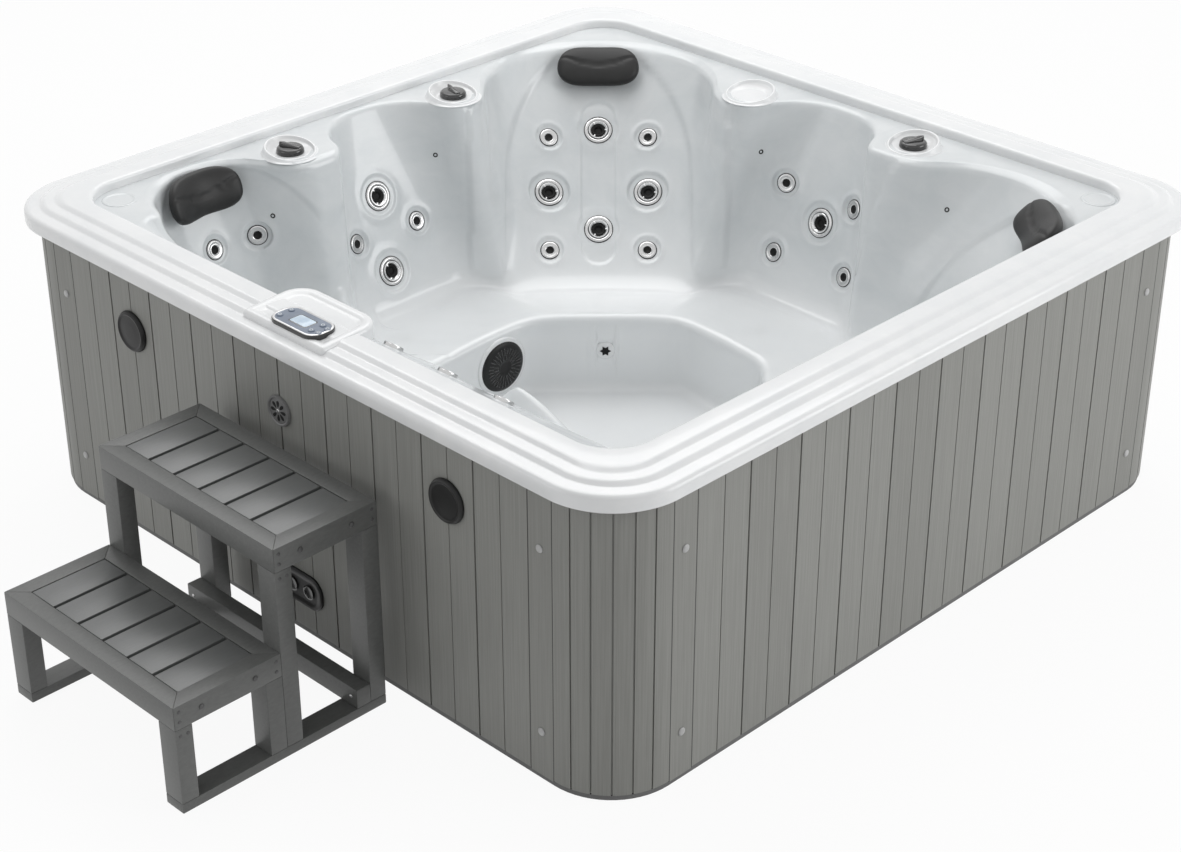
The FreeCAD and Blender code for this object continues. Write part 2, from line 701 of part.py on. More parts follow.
def diverters():
    deck = deck_height()
    stem = cylinder("stem_radius", "stem_length")
    grip = box("grip_length", "grip_width", "grip_rise", "-grip_length / 2", "-grip_width / 2", "knob_height")
    knob = fuse(cone("knob_radius", "knob_top", "knob_height"), grip)
    doc.recompute()
    stems = []
    for number, (x, y) in enumerate(PADS[:KNOB_PADS], start=1):
        low = V(x, y, deck - size("stem_length"))
        stems.append(copy_at(stem, FreeCAD.Placement(low, FreeCAD.Rotation())))
        turn = FreeCAD.Rotation(UP, math.degrees(math.atan2(y, x)))
        copy_at(knob, FreeCAD.Placement(V(x, y, deck + size("fit_gap")), turn), f"diverter_knob_{number}")
    group("diverter_stems", stems)


# Control panel

def control_panel():
    floor = panel_floor()
    top = floor + size("panel_thick")
    plate = slab(panel_outline(0, floor), size("panel_thick"))
    x, y = size("panel_shift"), -size("panel_reach")
    length, width = size("display_length") / 2, size("display_width") / 2
    sunk = size("display_thick")
    window = Part.makeBox(2 * length, 2 * width, sunk, V(x - length, y - width, top - sunk))
    holes = []
    for number, (along, across) in enumerate(PANEL_BUTTONS, start=1):
        spot = V(x + along, y + across, top + size("button_proud") - size("button_thick"))
        hole = size("button_radius") + size("fit_gap")
        holes.append(Part.makeCylinder(hole, size("panel_thick"), spot - UP * size("button_room")))
        button = Part.makeCylinder(size("button_radius"), size("button_thick"), spot)
        solid_feature(button, f"panel_button_{number}")
    solid_feature(plate.cut([window] + holes), "control_panel")
    solid_feature(window, "panel_display")


# Head pillows

def pillow(seat, sideways, z):
    """Soft kidney form: drawn in at the ends, crowned in the middle, its back following the seat."""
    half = size("pillow_width") / 2
    bend = seat_section(seat, z - size("pillow_height"))[2]
    sections = []
    for share in PILLOW_SHARES:
        x = half * share
        full = math.sqrt(max(size("pillow_end"), 1 - abs(share) ** 3))
        high = size("pillow_height") / 2 * full
        thick = size("pillow_thick") * full
        back = bend - math.sqrt(bend * bend - x * x) + size("pillow_gap")
        side = back + thick * size("pillow_side")
        low = -high + size("pillow_waist") * (1 - share * share)
        crown = V(x, (low + high) / 2, back + thick)
        edges = [Part.makeLine(V(x, high, back), V(x, high, side)),
                 Part.Arc(V(x, high, side), crown, V(x, low, side)).toShape(),
                 Part.makeLine(V(x, low, side), V(x, low, back)),
                 Part.makeLine(V(x, low, back), V(x, high, back))]
        sections.append(Part.Wire(edges))
    body = Part.makeLoft(sections, True, False)
    body.Placement = seat_spot(seat, sideways, z)
    return solid_feature(body, f"pillow_{seat}")


# Equipment

def pipe(points, radius):
    """Straight pipe runs with rounded elbows."""
    runs = []
    for here, there in zip(points, points[1:]):
        run = there - here
        runs.append(Part.makeCylinder(radius, run.Length, here, run))
    elbows = [Part.makeSphere(radius, point) for point in points[1:-1]]
    return runs[0].multiFuse(runs[1:] + elbows).removeSplitter()


def pumps():
    """Two footed pumps side by side under the lounge, wet ends to the left."""
    floor = size("pan_thick")
    axle = size("suction_height")
    start = size("pump_start")
    wet_length, motor_length = size("wet_end_length"), size("motor_length")
    motor_radius = size("motor_radius")
    wet_ends, motors = [], []
    for y in pump_rows():
        wet_end = Part.makeCylinder(size("wet_end_radius"), wet_length, V(start, y, axle), ALONG)
        wet_ends.append(solid_feature(wet_end))
        motor = Part.makeCylinder(motor_radius, motor_length, V(start + wet_length, y, axle), ALONG)
        foot = Part.makeBox(motor_length / 2, motor_radius, axle - motor_radius / 2 - floor,
                            V(start + wet_length + motor_length / 4, y - motor_radius / 2, floor))
        motors.append(solid_feature(motor.fuse(foot).removeSplitter()))
    group("pump_wet_ends", wet_ends)
    group("pump_motors", motors)


def pump_rows():
    return [-size("pump_setback"), -size("pump_setback") - size("pump_pitch")]


def plumbing():
    """Suction pipe from the footwell to both pumps and the manifold that feeds the jets."""
    axle = size("suction_height")
    radius = size("pipe_radius")
    mouth = suction_spot().Base
    back = mouth.x - size("pipe_gap")
    turn = -size("pipe_turn")
    near, far = pump_rows()
    branch = size("pump_start") - size("pump_pitch") / 2
    end = size("pump_start")
    main = [V(back, mouth.y, axle), V(turn, mouth.y, axle), V(turn, near, axle), V(end, near, axle)]
    side = [V(branch, near, axle), V(branch, far, axle), V(end, far, axle)]
    branch_radius = size("branch_radius")
    solid_feature(pipe(main, radius).fuse(pipe(side, branch_radius)).removeSplitter(), "suction_pipe")
    riser_x = size("pump_start") + size("wet_end_length") / 2
    top = axle + size("wet_end_radius")
    level = size("manifold_height")
    manifold_end = V(riser_x - size("manifold_length") / 2, far, level)
    manifold = Part.makeCylinder(size("manifold_radius"), size("manifold_length"), manifold_end, ALONG)
    bend = (top + level) / 2
    near_riser = pipe([V(riser_x, near, top), V(riser_x, near, bend), V(riser_x, far, bend)], branch_radius)
    far_riser = pipe([V(riser_x, far, top), V(riser_x, far, level)], radius)
    solid_feature(manifold.multiFuse([near_riser, far_riser]).removeSplitter(), "jet_manifold")


def equipment():
    pumps()
    plumbing()
    front = "-cabinet_width / 2 + board_thick + frame_bar + seam"
    node(box("box_length", "box_width", "box_height", "box_shift", front, "pan_thick"), "control_box")
    inside = -size("cabinet_width") / 2 + size("board_thick") + size("frame_bar") + size("seam")
    middle = inside + size("box_width") / 2
    level = size("pan_thick") + size("box_height") + size("heater_radius") + size("fit_gap")
    start = size("box_shift") + (size("box_length") - size("heater_length")) / 2
    heater_end = V(start, middle, level)
    heater = Part.makeCylinder(size("heater_radius"), size("heater_length"), heater_end, ALONG)
    solid_feature(heater, "heater_tube")
    blower_foot = V(-size("blower_shift"), inside + size("blower_radius"), size("pan_thick"))
    blower = Part.makeCylinder(size("blower_radius"), size("blower_height"), blower_foot)
    solid_feature(blower, "air_blower")


# Entry steps

def step_edges():
    """Left, right, front and rear of the steps."""
    middle = size("step_shift")
    half = size("step_width") / 2
    rear = -size("cabinet_width") / 2 - size("step_gap")
    return middle - half, middle + half, rear - 2 * size("tread_depth"), rear


def mitred_frame(left, right, front, rear, top):
    border = size("frame_border")
    height = size("frame_height")
    outer = [(left, front), (right, front), (right, rear), (left, rear)]
    inner = [(left + border, front + border), (right - border, front + border),
             (right - border, rear - border), (left + border, rear - border)]
    boards = []
    for index in range(len(outer)):
        after = (index + 1) % len(outer)
        ring = [outer[index], outer[after], inner[after], inner[index], outer[index]]
        outline = Part.makePolygon([V(x, y, top - height) for x, y in ring])
        boards.append(solid_feature(slab(outline, height)))
    return boards


def tread_slats(left, right, front, rear, top):
    border, gap = size("frame_border"), size("tread_slat_gap")
    count = int(size("slat_count"))
    thick = size("tread_slat_thick")
    run = right - left - 2 * border
    wide = (run - (count - 1) * gap) / count
    slats = []
    for index in range(count):
        x = left + border + index * (wide + gap)
        corner = V(x, front + border, top - thick)
        slats.append(solid_feature(Part.makeBox(wide, rear - front - 2 * border, thick, corner)))
    return slats


def entry_steps():
    left, right, front, rear = step_edges()
    wide, thick, rail = size("leg_wide"), size("leg_thick"), size("rail_thick")
    depth = size("tread_depth")
    low_under = size("low_tread") - size("frame_height")
    high_under = size("high_tread") - size("frame_height")
    group("low_tread_frame", mitred_frame(left, right, front, front + depth, size("low_tread")))
    group("high_tread_frame", mitred_frame(left, right, front + depth, rear, size("high_tread")))
    slats = tread_slats(left, right, front, front + depth, size("low_tread"))
    slats += tread_slats(left, right, front + depth, rear, size("high_tread"))
    group("tread_slats", slats)
    legs, rails, bolts = [], [], []
    for side in (-1, 1):
        edge = left if side < 0 else right - wide
        rails.append(solid_feature(Part.makeBox(wide, rear - front, rail, V(edge, front, 0))))
        places = [(front, low_under), (front + depth - thick, low_under), (front + depth, high_under),
                  (rear - thick, high_under)]
        for y, under in places:
            legs.append(solid_feature(Part.makeBox(wide, thick, under - rail, V(edge, y, rail))))
        outer = left if side < 0 else right
        for y, top in ((front, size("low_tread")), (front + depth, size("high_tread"))):
            for share in (size("bolt_share"), 1 - size("bolt_share")):
                spot = V(outer, y + depth * share, top - size("frame_height") / 2)
                bolt = Part.makeCylinder(size("bolt_radius"), size("bolt_head"), spot, ALONG * side)
                bolts.append(solid_feature(bolt))
    group("step_legs", legs)
    group("step_base_rails", rails)
    group("step_bolts", bolts)
    cross_depth = size("cross_depth")
    corner = V(left, rear - thick - cross_depth, rail)
    cross = Part.makeBox(right - left, cross_depth, size("cross_height"), corner)
    solid_feature(cross, "step_cross_rail")


acrylic_shell()
base_pan()
frame_bars()
footwell_cradle()
for side_name, turn in (("front", 0), ("right", 90), ("rear", 180), ("left", 270)):
    side_panel(f"{side_name}_panel", turn)
for corner_name, turn in (("rear_right", 0), ("rear_left", 90), ("front_left", 180), ("front_right", 270)):
    corner_cover(f"corner_cover_{corner_name}", turn)
panel_strips()
strip_screws()
front_fittings()
jets()
diverters()
control_panel()
for mark in PILLOWS:
    pillow(*mark)
equipment()
entry_steps()
doc.recompute()

for thing in doc.Objects:
    if "Invalid" in thing.State or "Error" in thing.State:
        raise RuntimeError(f"{thing.Label} failed: {thing.State}")
for piece in nodes:
    if piece.Shape.isNull() or not piece.Shape.isValid() or not piece.Shape.Solids:
        raise RuntimeError(f"{piece.Label} has no valid solid")

os.makedirs("parts", exist_ok=True)
for piece in nodes:
    piece.Shape.exportStep(f"parts/{piece.Label}.step")
    print(piece.Label, len(piece.Shape.Solids), round(piece.Shape.Volume / 1e6, 3))
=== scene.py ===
# %% [markdown]
# # A square hot tub with entry steps
# This lesson dresses a hot tub whose pieces were already constructed to size. The constructed model comes
# in as a fixed frame in metres, with +Z up and the front, where the steps stand, facing -Y. Everything made
# below sits on that frame, so no piece has to be fitted by eye.

# %% Load the constructed tub
import math
import bmesh
import bpy
import numpy as np
from mathutils import Matrix, Vector
from mathutils.bvhtree import BVHTree


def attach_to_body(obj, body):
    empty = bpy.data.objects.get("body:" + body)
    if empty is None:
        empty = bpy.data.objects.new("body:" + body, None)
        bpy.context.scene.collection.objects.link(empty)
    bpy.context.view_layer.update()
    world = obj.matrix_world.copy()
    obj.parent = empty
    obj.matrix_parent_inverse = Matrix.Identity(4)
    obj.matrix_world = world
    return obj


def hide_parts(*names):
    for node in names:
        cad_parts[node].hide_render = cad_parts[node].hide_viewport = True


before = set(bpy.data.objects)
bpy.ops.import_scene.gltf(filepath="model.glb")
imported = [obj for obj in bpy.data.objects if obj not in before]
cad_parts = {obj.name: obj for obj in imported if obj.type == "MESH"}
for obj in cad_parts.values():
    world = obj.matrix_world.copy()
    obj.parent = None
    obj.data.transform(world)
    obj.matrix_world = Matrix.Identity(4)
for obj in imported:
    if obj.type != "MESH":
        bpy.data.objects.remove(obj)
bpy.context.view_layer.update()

# %% [markdown]
# ## Camera
# The camera stands above the near corner, between the boarded front and the right side. A long lens from
# about six metres keeps the tub's edges nearly parallel. A shorter lens close by would give the same framing
# but would spread the near corner.

# %% Camera
scene = bpy.context.scene
lens = bpy.data.cameras.new("camera")
lens.lens = 71.867
lens.sensor_width = 36.0
lens.sensor_fit = "HORIZONTAL"
camera = bpy.data.objects.new("camera", lens)
camera.location = (3.853, -3.938, 3.205)
camera.rotation_euler = (math.radians(60.827), 0.0, math.radians(44.802))
scene.collection.objects.link(camera)
scene.camera = camera
scene.view_settings.view_transform = "Standard"
print("camera at", tuple(round(v, 3) for v in camera.location))

# %% [markdown]
# ## Node helpers
# Finishes here are all worked out by shader nodes from the piece's own Object coordinates, so a pattern stays
# on the piece when the camera moves. These helpers only save typing: one adds a node and fills its sockets,
# one starts a material, one reads the coordinates through a Mapping node, and the rest make the few patterns,
# colour ramps and bumps that all the finishes share.


# %% Node helpers
def add_node(tree, kind, **values):
    node = tree.nodes.new(kind)
    for name, value in values.items():
        if name in node.inputs:
            node.inputs[name].default_value = value
        else:
            setattr(node, name, value)
    return node


def start_finish(name, **sockets):
    material = bpy.data.materials.new(name)
    material.use_nodes = True
    shader = material.node_tree.nodes["Principled BSDF"]
    for socket, value in sockets.items():
        shader.inputs[socket.replace("_", " ")].default_value = value
    return material, material.node_tree, shader


def object_place(tree, scale=(1, 1, 1)):
    coordinates = add_node(tree, "ShaderNodeTexCoord")
    mapping = add_node(tree, "ShaderNodeMapping")
    mapping.inputs["Scale"].default_value = scale
    tree.links.new(coordinates.outputs["Object"], mapping.inputs["Vector"])
    return mapping.outputs["Vector"]


def noise(tree, place, scale, detail=4.0, roughness=0.55):
    node = add_node(tree, "ShaderNodeTexNoise", Scale=scale, Detail=detail, Roughness=roughness)
    tree.links.new(place, node.inputs["Vector"])
    return node.outputs["Fac"]


def ramp(tree, value, *stops):
    node = add_node(tree, "ShaderNodeValToRGB")
    line = node.color_ramp
    while len(line.elements) < len(stops):
        line.elements.new(0.5)
    for element, (position, colour) in zip(line.elements, stops):
        element.position = position
        element.color = (*colour, 1)
    tree.links.new(value, node.inputs["Fac"])
    return node.outputs["Color"]


def spread(tree, value, low, high):
    """Number between low and high that follows a 0 to 1 pattern."""
    node = add_node(tree, "ShaderNodeMapRange", **{"To Min": low, "To Max": high})
    tree.links.new(value, node.inputs["Value"])
    return node.outputs["Result"]


def tinted(tree, colour, share, tint):
    """Colour that goes over to a fixed tint where the share is 1."""
    node = add_node(tree, "ShaderNodeMix", data_type="RGBA")
    tree.links.new(share, node.inputs["Factor"])
    tree.links.new(colour, node.inputs["A"])
    node.inputs["B"].default_value = (*tint, 1)
    return node.outputs["Result"]


def bump(tree, height, shader, strength, distance):
    node = add_node(tree, "ShaderNodeBump", Strength=strength, Distance=distance)
    tree.links.new(height, node.inputs["Height"])
    tree.links.new(node.outputs["Normal"], shader.inputs["Normal"])


# %% [markdown]
# ## Mottled finishes
# Acrylic, moulded plastic, rubber and plated metal are never one flat colour: there is a slow drift of tone
# over a hand's width and a fine grain on top. One recipe with two noises covers them all, with the colours,
# the grain and the gloss given for each finish.


# %% Mottled finishes
def mottled(name, dark, light, drift, grain, depth, gloss, **sockets):
    """Finish whose tone drifts over `drift` waves a metre, with a bump of `grain` waves a metre."""
    material, tree, shader = start_finish(name, **sockets)
    place = object_place(tree)
    slow = noise(tree, place, drift)
    fine = noise(tree, place, grain, detail=6.0)
    tree.links.new(ramp(tree, slow, (0.3, dark), (0.7, light)), shader.inputs["Base Color"])
    tree.links.new(spread(tree, fine, *gloss), shader.inputs["Roughness"])
    bump(tree, fine, shader, 0.35, depth)
    return material


def grey(value):
    return (value, value, value)


black_plastic = mottled("black_plastic", grey(0.008), grey(0.015), 9, 900, 0.0002, (0.32, 0.46),
                        Specular_IOR_Level=0.3)
gloss_black = mottled("gloss_black", grey(0.008), grey(0.016), 7, 500, 0.0001, (0.08, 0.16), Coat_Weight=0.5)
chrome = mottled("chrome", grey(0.5), grey(0.6), 6, 700, 0.00005, (0.2, 0.3), Metallic=1.0)
bright_ring = mottled("bright_ring", grey(0.6), grey(0.7), 6, 700, 0.00005, (0.22, 0.32), Metallic=1.0)
screw_grey = mottled("screw_grey", grey(0.4), grey(0.5), 40, 900, 0.0002, (0.28, 0.4))
vent_grey = mottled("vent_grey", grey(0.15), grey(0.21), 20, 900, 0.0002, (0.35, 0.5))
core_black = mottled("core_black", grey(0.006), grey(0.011), 20, 900, 0.0002, (0.45, 0.6),
                     Specular_IOR_Level=0.2)
silver_rim = mottled("silver_rim", grey(0.52), grey(0.62), 12, 800, 0.0001, (0.25, 0.35), Metallic=0.9)
panel_face = mottled("panel_face", (0.13, 0.16, 0.22), (0.2, 0.24, 0.31), 15, 800, 0.0001, (0.25, 0.35))
display_glass = mottled("display_glass", (0.5, 0.62, 0.75), (0.66, 0.78, 0.88), 45, 500, 0.00005, (0.1, 0.2))
icon_pale = mottled("icon_pale", (0.7, 0.74, 0.76), (0.8, 0.84, 0.86), 60, 900, 0.0001, (0.35, 0.45))
step_bolt = mottled("step_bolt", grey(0.06), grey(0.1), 30, 900, 0.0002, (0.35, 0.5))
print("plain finishes", len(bpy.data.materials))

# %% [markdown]
# ## Acrylic
# The shell is a sheet of cast acrylic drawn over a mould. Its colour is a pearl white with pale grey-blue
# marbling that runs all through the sheet, under a clear gloss. The marbling is a noise that bends the place
# where a second noise is read, which gives drawn-out veins; a plain noise would look like cloud. Low down the
# tone gets paler: that is painted light, which brightens the hollows. The basin has a greyer copy of the same
# acrylic, which is painted shade; the rim, the pads on the deck and the pale discs in the footwell have the
# whiter copy, with a little less vein.


# %% Acrylic
# Heights where the painted light starts to pale the sheet and where it is palest, and its share of the pale
# tone
PAINTED_LIGHT_FROM, PAINTED_LIGHT_FULL, PAINTED_LIGHT_SHARE = 0.42, 0.25, 0.8


def marbled(name, vein, ground, contrast, deep=None):
    """Veined sheet; `contrast` is half the step from vein to ground, `deep` the paler tone painted low down
    as light.
    """
    material, tree, shader = start_finish(name, Coat_Weight=0.35, Coat_Roughness=0.06, IOR=1.49)
    place = object_place(tree, (1.0, 1.0, 1.4))
    bend = add_node(tree, "ShaderNodeTexNoise", Scale=2.6, Detail=3.0)
    tree.links.new(place, bend.inputs["Vector"])
    push = add_node(tree, "ShaderNodeVectorMath", operation="MULTIPLY_ADD")
    push.inputs[1].default_value = (0.55, 0.55, 0.55)
    tree.links.new(bend.outputs["Color"], push.inputs[0])
    tree.links.new(place, push.inputs[2])
    veins = noise(tree, push.outputs["Vector"], 7.0, detail=8.0, roughness=0.62)
    tint = ramp(tree, veins, (0.5 - contrast, vein), (0.5 + contrast, ground))
    # Painted light: low down the tone turns towards `deep`, which brightens the hollows
    if deep:
        height = add_node(tree, "ShaderNodeSeparateXYZ")
        tree.links.new(object_place(tree), height.inputs["Vector"])
        sizes = {"From Min": PAINTED_LIGHT_FROM, "From Max": PAINTED_LIGHT_FULL, "To Max": PAINTED_LIGHT_SHARE}
        low = add_node(tree, "ShaderNodeMapRange", **sizes)
        tree.links.new(height.outputs["Z"], low.inputs["Value"])
        tint = tinted(tree, tint, low.outputs["Result"], deep)
    tree.links.new(tint, shader.inputs["Base Color"])
    ripple = noise(tree, place, 30.0, detail=2.0)
    tree.links.new(spread(tree, veins, 0.2, 0.3), shader.inputs["Roughness"])
    bump(tree, ripple, shader, 0.12, 0.0006)
    return material


# Two copies of one acrylic: the basin's greyer tones are painted shade beside the rim's whiter ones, and the
# basin's copy also turns paler low down, which is painted light
acrylic_rim = marbled("acrylic_rim", (0.775, 0.79, 0.8), (0.84, 0.847, 0.85), 0.2)
acrylic_basin_painted_light_and_shade = marbled("acrylic_basin_painted_light_and_shade", (0.635, 0.665, 0.678), (0.715, 0.735, 0.743), 0.22,
                        deep=(0.87, 0.885, 0.892))
print("acrylic finishes ready")

# %% [markdown]
# ## Boards of the cabinet and of the steps
# The cabinet's boards are extruded composite: grey, with a fine upright grain and a slightly different tone
# on each board. The tone comes from a White Noise node read at the board's number, which is the distance
# along the side divided by the board's pitch and rounded down. The same count puts a painted highlight down
# the middle of each board, where its bead catches the light, and painted shadow at the edges of the strips,
# where the gaps beside them lie in shade. The steps are a darker composite with a satin sheen, and their
# grain runs from front to rear.


# %% Board finishes
def plain_sum(tree, operation, first, second):
    """Math node of two values, each a socket or a plain number."""
    node = add_node(tree, "ShaderNodeMath", operation=operation)
    for socket, value in zip(node.inputs, (first, second)):
        if isinstance(value, (int, float)):
            socket.default_value = value
        else:
            tree.links.new(value, socket)
    return node.outputs[0]


def along_side(tree):
    """Distance along a side of the cabinet: x on the front and rear, y on the left and right."""
    split = add_node(tree, "ShaderNodeSeparateXYZ")
    tree.links.new(add_node(tree, "ShaderNodeTexCoord").outputs["Object"], split.inputs["Vector"])
    wide = plain_sum(tree, "ABSOLUTE", split.outputs["X"], 0)
    deep = plain_sum(tree, "ABSOLUTE", split.outputs["Y"], 0)
    on_front = plain_sum(tree, "LESS_THAN", wide, deep)
    first = plain_sum(tree, "MULTIPLY", split.outputs["X"], on_front)
    second = plain_sum(tree, "MULTIPLY", split.outputs["Y"], plain_sum(tree, "SUBTRACT", 1, on_front))
    return plain_sum(tree, "ADD", first, second)


def boarded(name, dark, light, stretch, gloss, depth, pitch=None, start=0.0, tone_share=0.2, line=None,
            **sockets):
    """Grained board; `pitch` and `start` number the boards, `line` paints a band of light or shade on each
    board.
    """
    material, tree, shader = start_finish(name, **sockets)
    grain = noise(tree, object_place(tree, stretch), 1.0, detail=7.0, roughness=0.65)
    value = grain
    if pitch:
        number = plain_sum(tree, "DIVIDE", plain_sum(tree, "SUBTRACT", along_side(tree), start), pitch)
        tone = add_node(tree, "ShaderNodeTexWhiteNoise", noise_dimensions="1D")
        tree.links.new(plain_sum(tree, "FLOOR", number, 0), tone.inputs["W"])
        value = plain_sum(tree, "ADD", plain_sum(tree, "MULTIPLY", tone.outputs["Value"], tone_share), grain)
    colour = ramp(tree, value, (0.35, dark), (0.85, light))
    if line:
        # Painted light and shade: a band of each board, at its middle or at its edges, takes a fixed tint
        compare, share, tint = line
        off = plain_sum(tree, "SUBTRACT", plain_sum(tree, "FRACT", number, 0), 0.5)
        painted_band = plain_sum(tree, compare, plain_sum(tree, "ABSOLUTE", off, 0), share)
        colour = tinted(tree, colour, painted_band, tint)
    tree.links.new(colour, shader.inputs["Base Color"])
    tree.links.new(spread(tree, grain, *gloss), shader.inputs["Roughness"])
    bump(tree, grain, shader, 0.4, depth)
    return material


BOARD_TONES = (0.216, 0.217, 0.203), (0.292, 0.294, 0.277)
BOARD_GRAIN = (260, 260, 4), (0.45, 0.62), 0.0004
PANEL_WIDTH, PANEL_BOARDS = 1.6372, 10
# A strip's inner and outer edge from the middle of its side, and how many strip widths lie between the inner
# edge of one strip and the outer edge of the other
STRIP_NEAR, STRIP_FAR, STRIP_COUNT = 0.819, 0.893, 23
# The pale line down the middle of each cabinet board is a painted highlight
cabinet_board = boarded("cabinet_board", *BOARD_TONES, *BOARD_GRAIN, pitch=PANEL_WIDTH / PANEL_BOARDS,
                        start=-PANEL_WIDTH / 2, line=("LESS_THAN", 0.008, (0.34, 0.343, 0.325)))
corner_board = boarded("corner_board", *BOARD_TONES, *BOARD_GRAIN)
# The dark band at both edges of each strip is painted shadow in the gaps beside it
strip_board = boarded("strip_board", *BOARD_TONES, *BOARD_GRAIN, pitch=(STRIP_NEAR + STRIP_FAR) / STRIP_COUNT,
                      start=STRIP_NEAR, tone_share=0.0, line=("GREATER_THAN", 0.462, (0.03, 0.03, 0.027)))
step_board = boarded("step_board", (0.115, 0.118, 0.115), (0.155, 0.158, 0.153), (140, 60, 140),
                     (0.36, 0.48), 0.0002)
slat_board = boarded("slat_board", (0.125, 0.129, 0.128), (0.15, 0.155, 0.153), (220, 30, 220),
                     (0.34, 0.41), 0.0001, Specular_IOR_Level=0.7)
frame_timber = boarded("frame_timber", (0.3, 0.22, 0.13), (0.44, 0.33, 0.2), (18, 18, 18),
                       (0.6, 0.75), 0.0006)
print("board finishes ready")

# %% [markdown]
# ## Mesh helpers
# Most small fittings are turned shapes, so one helper spins a profile of radius and height round the Z axis.
# The profile runs from the axis below, outwards and up to the axis above, which makes every face point
# outwards. The others join rings of equal length, put points through a matrix and round the corners of a
# profile. The last one tells the frame which body a finished piece moves with and hides the constructed
# nodes it stands for.


# %% Mesh helpers
def new_piece(name, points, faces, finish, angle=35.0):
    mesh = bpy.data.meshes.new(name)
    places = [tuple(float(v) for v in point) for point in points]
    mesh.from_pydata(places, [], [tuple(face) for face in faces])
    mesh.update()
    mesh.materials.append(finish)
    mesh.shade_smooth()
    mesh.set_sharp_from_angle(angle=math.radians(angle))
    piece = bpy.data.objects.new(name, mesh)
    scene.collection.objects.link(piece)
    return piece


def lathe(profile, steps=48):
    points, rings, faces = [], [], []
    turns = [2 * math.pi * step / steps for step in range(steps)]
    for radius, height in profile:
        first = len(points)
        if radius == 0:
            rings.append([first] * steps)
            points.append((0, 0, height))
        else:
            rings.append(list(range(first, first + steps)))
            points += [(radius * math.cos(t), radius * math.sin(t), height) for t in turns]
    for low, high in zip(rings, rings[1:]):
        for here in range(steps):
            there = (here + 1) % steps
            face = list(dict.fromkeys((low[here], low[there], high[there], high[here])))
            if len(face) > 2:
                faces.append(face)
    return points, faces


def stacked(rings, close_low=False, close_high=False):
    """Faces between closed rings of equal length, each ring further up or further in than the last."""
    count = len(rings[0])
    points = [point for ring in rings for point in ring]
    faces = []
    for level in range(len(rings) - 1):
        for here in range(count):
            there = (here + 1) % count
            low, high = level * count, (level + 1) * count
            faces.append((low + here, low + there, high + there, high + here))
    if close_low:
        faces.append(tuple(reversed(range(count))))
    if close_high:
        faces.append(tuple(range(len(points) - count, len(points))))
    return points, faces


def moved(points, matrix):
    return [tuple(matrix @ Vector(point)) for point in points]


def rounded(profile, radius, steps=4):
    """Profile with the corners between its ends rounded by quadratic curves."""
    result = [profile[0]]
    for before, corner, after in zip(profile, profile[1:], profile[2:]):
        back = np.subtract(before, corner)
        ahead = np.subtract(after, corner)
        cut = min(radius, 0.45 * np.linalg.norm(back), 0.45 * np.linalg.norm(ahead))
        start = np.add(corner, back / np.linalg.norm(back) * cut)
        end = np.add(corner, ahead / np.linalg.norm(ahead) * cut)
        for step in range(steps + 1):
            t = step / steps
            result.append(tuple((1 - t) ** 2 * start + 2 * t * (1 - t) * np.array(corner) + t * t * end))
    result.append(profile[-1])
    return result


def attach(piece, body, slot, *nodes):
    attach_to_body(piece, body)
    if nodes:
        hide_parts(*nodes)


# %% [markdown]
# ## The seats as a rule
# Five scooped seats and an open basin make the hollow of the shell. Each seat is a box with a rounded back
# that reaches further out towards the deck, pointing out from the middle at its own bearing. These are the
# same numbers that the constructed shell has, so jets and pillows land on the surface.

# %% Seats as a rule
# Heights of the deck, of the seats at their backs and of the lip where they meet the footwell
DECK, FOOT, LIP = 0.783, 0.240, 0.315
# Distance from the middle where the seats start to fall to the back, and how steeply they do
LIP_REACH, SEAT_SLOPE = 0.310, 0.25
# Half width and corner radius of the rim's inner edge
RIM_INSIDE, RIM_ROUND = 0.952, 0.112
# Bearing, sideways shift, start of the scoop, then reach, half width and corner round at foot and deck
SEATS = {
    "far": (135, 0.015, -0.4, (0.605, 0.285, 0.120), (1.175, 0.335, 0.318)),
    "left": (185, 0.560, 0.30, (0.800, 0.225, 0.110), (0.981, 0.210, 0.196)),
    "right": (45, -0.080, -0.4, (0.640, 0.285, 0.120), (1.175, 0.335, 0.318)),
    "side": (180, 0.040, -0.4, (0.715, 0.260, 0.100), (0.930, 0.197, 0.184)),
    "rear": (90, -0.030, -0.4, (0.715, 0.260, 0.100), (0.915, 0.197, 0.184)),
}
FOOTWELL = [(-0.371, -0.298), (-0.352, 0.060), (-0.060, 0.355), (0.244, 0.344), (0.390, 0.190),
            (0.390, -0.298)]


def seat_axes(seat):
    """Directions out along a seat and across it."""
    bearing = math.radians(SEATS[seat][0])
    outward = np.array([math.cos(bearing), math.sin(bearing), 0])
    return outward, np.array([-math.sin(bearing), math.cos(bearing), 0])


def seat_section(seat, z):
    """Reach, half width and corner round of a seat at one height."""
    low, high = SEATS[seat][3:]
    share = (z - FOOT) / (DECK - FOOT)
    return [a + (b - a) * share for a, b in zip(low, high)]


def seat_spot(seat, sideways, z):
    """Matrix of a place on a seat's back: X along the back, Y up the slope, Z square to it."""
    outward, across = seat_axes(seat)

    def depth(offset, height):
        reach, half, bend = seat_section(seat, height)
        beyond = max(0.0, abs(offset) - (half - bend))
        return reach - bend + math.sqrt(bend * bend - beyond * beyond)
    step = 0.0005
    lean = (depth(sideways, z + step) - depth(sideways, z - step)) / (2 * step)
    turn = (depth(sideways + step, z) - depth(sideways - step, z)) / (2 * step)
    point = outward * depth(sideways, z) + across * (SEATS[seat][1] + sideways) + np.array([0, 0, z])
    return facing(point, across * turn + np.array([0, 0, lean]) - outward)


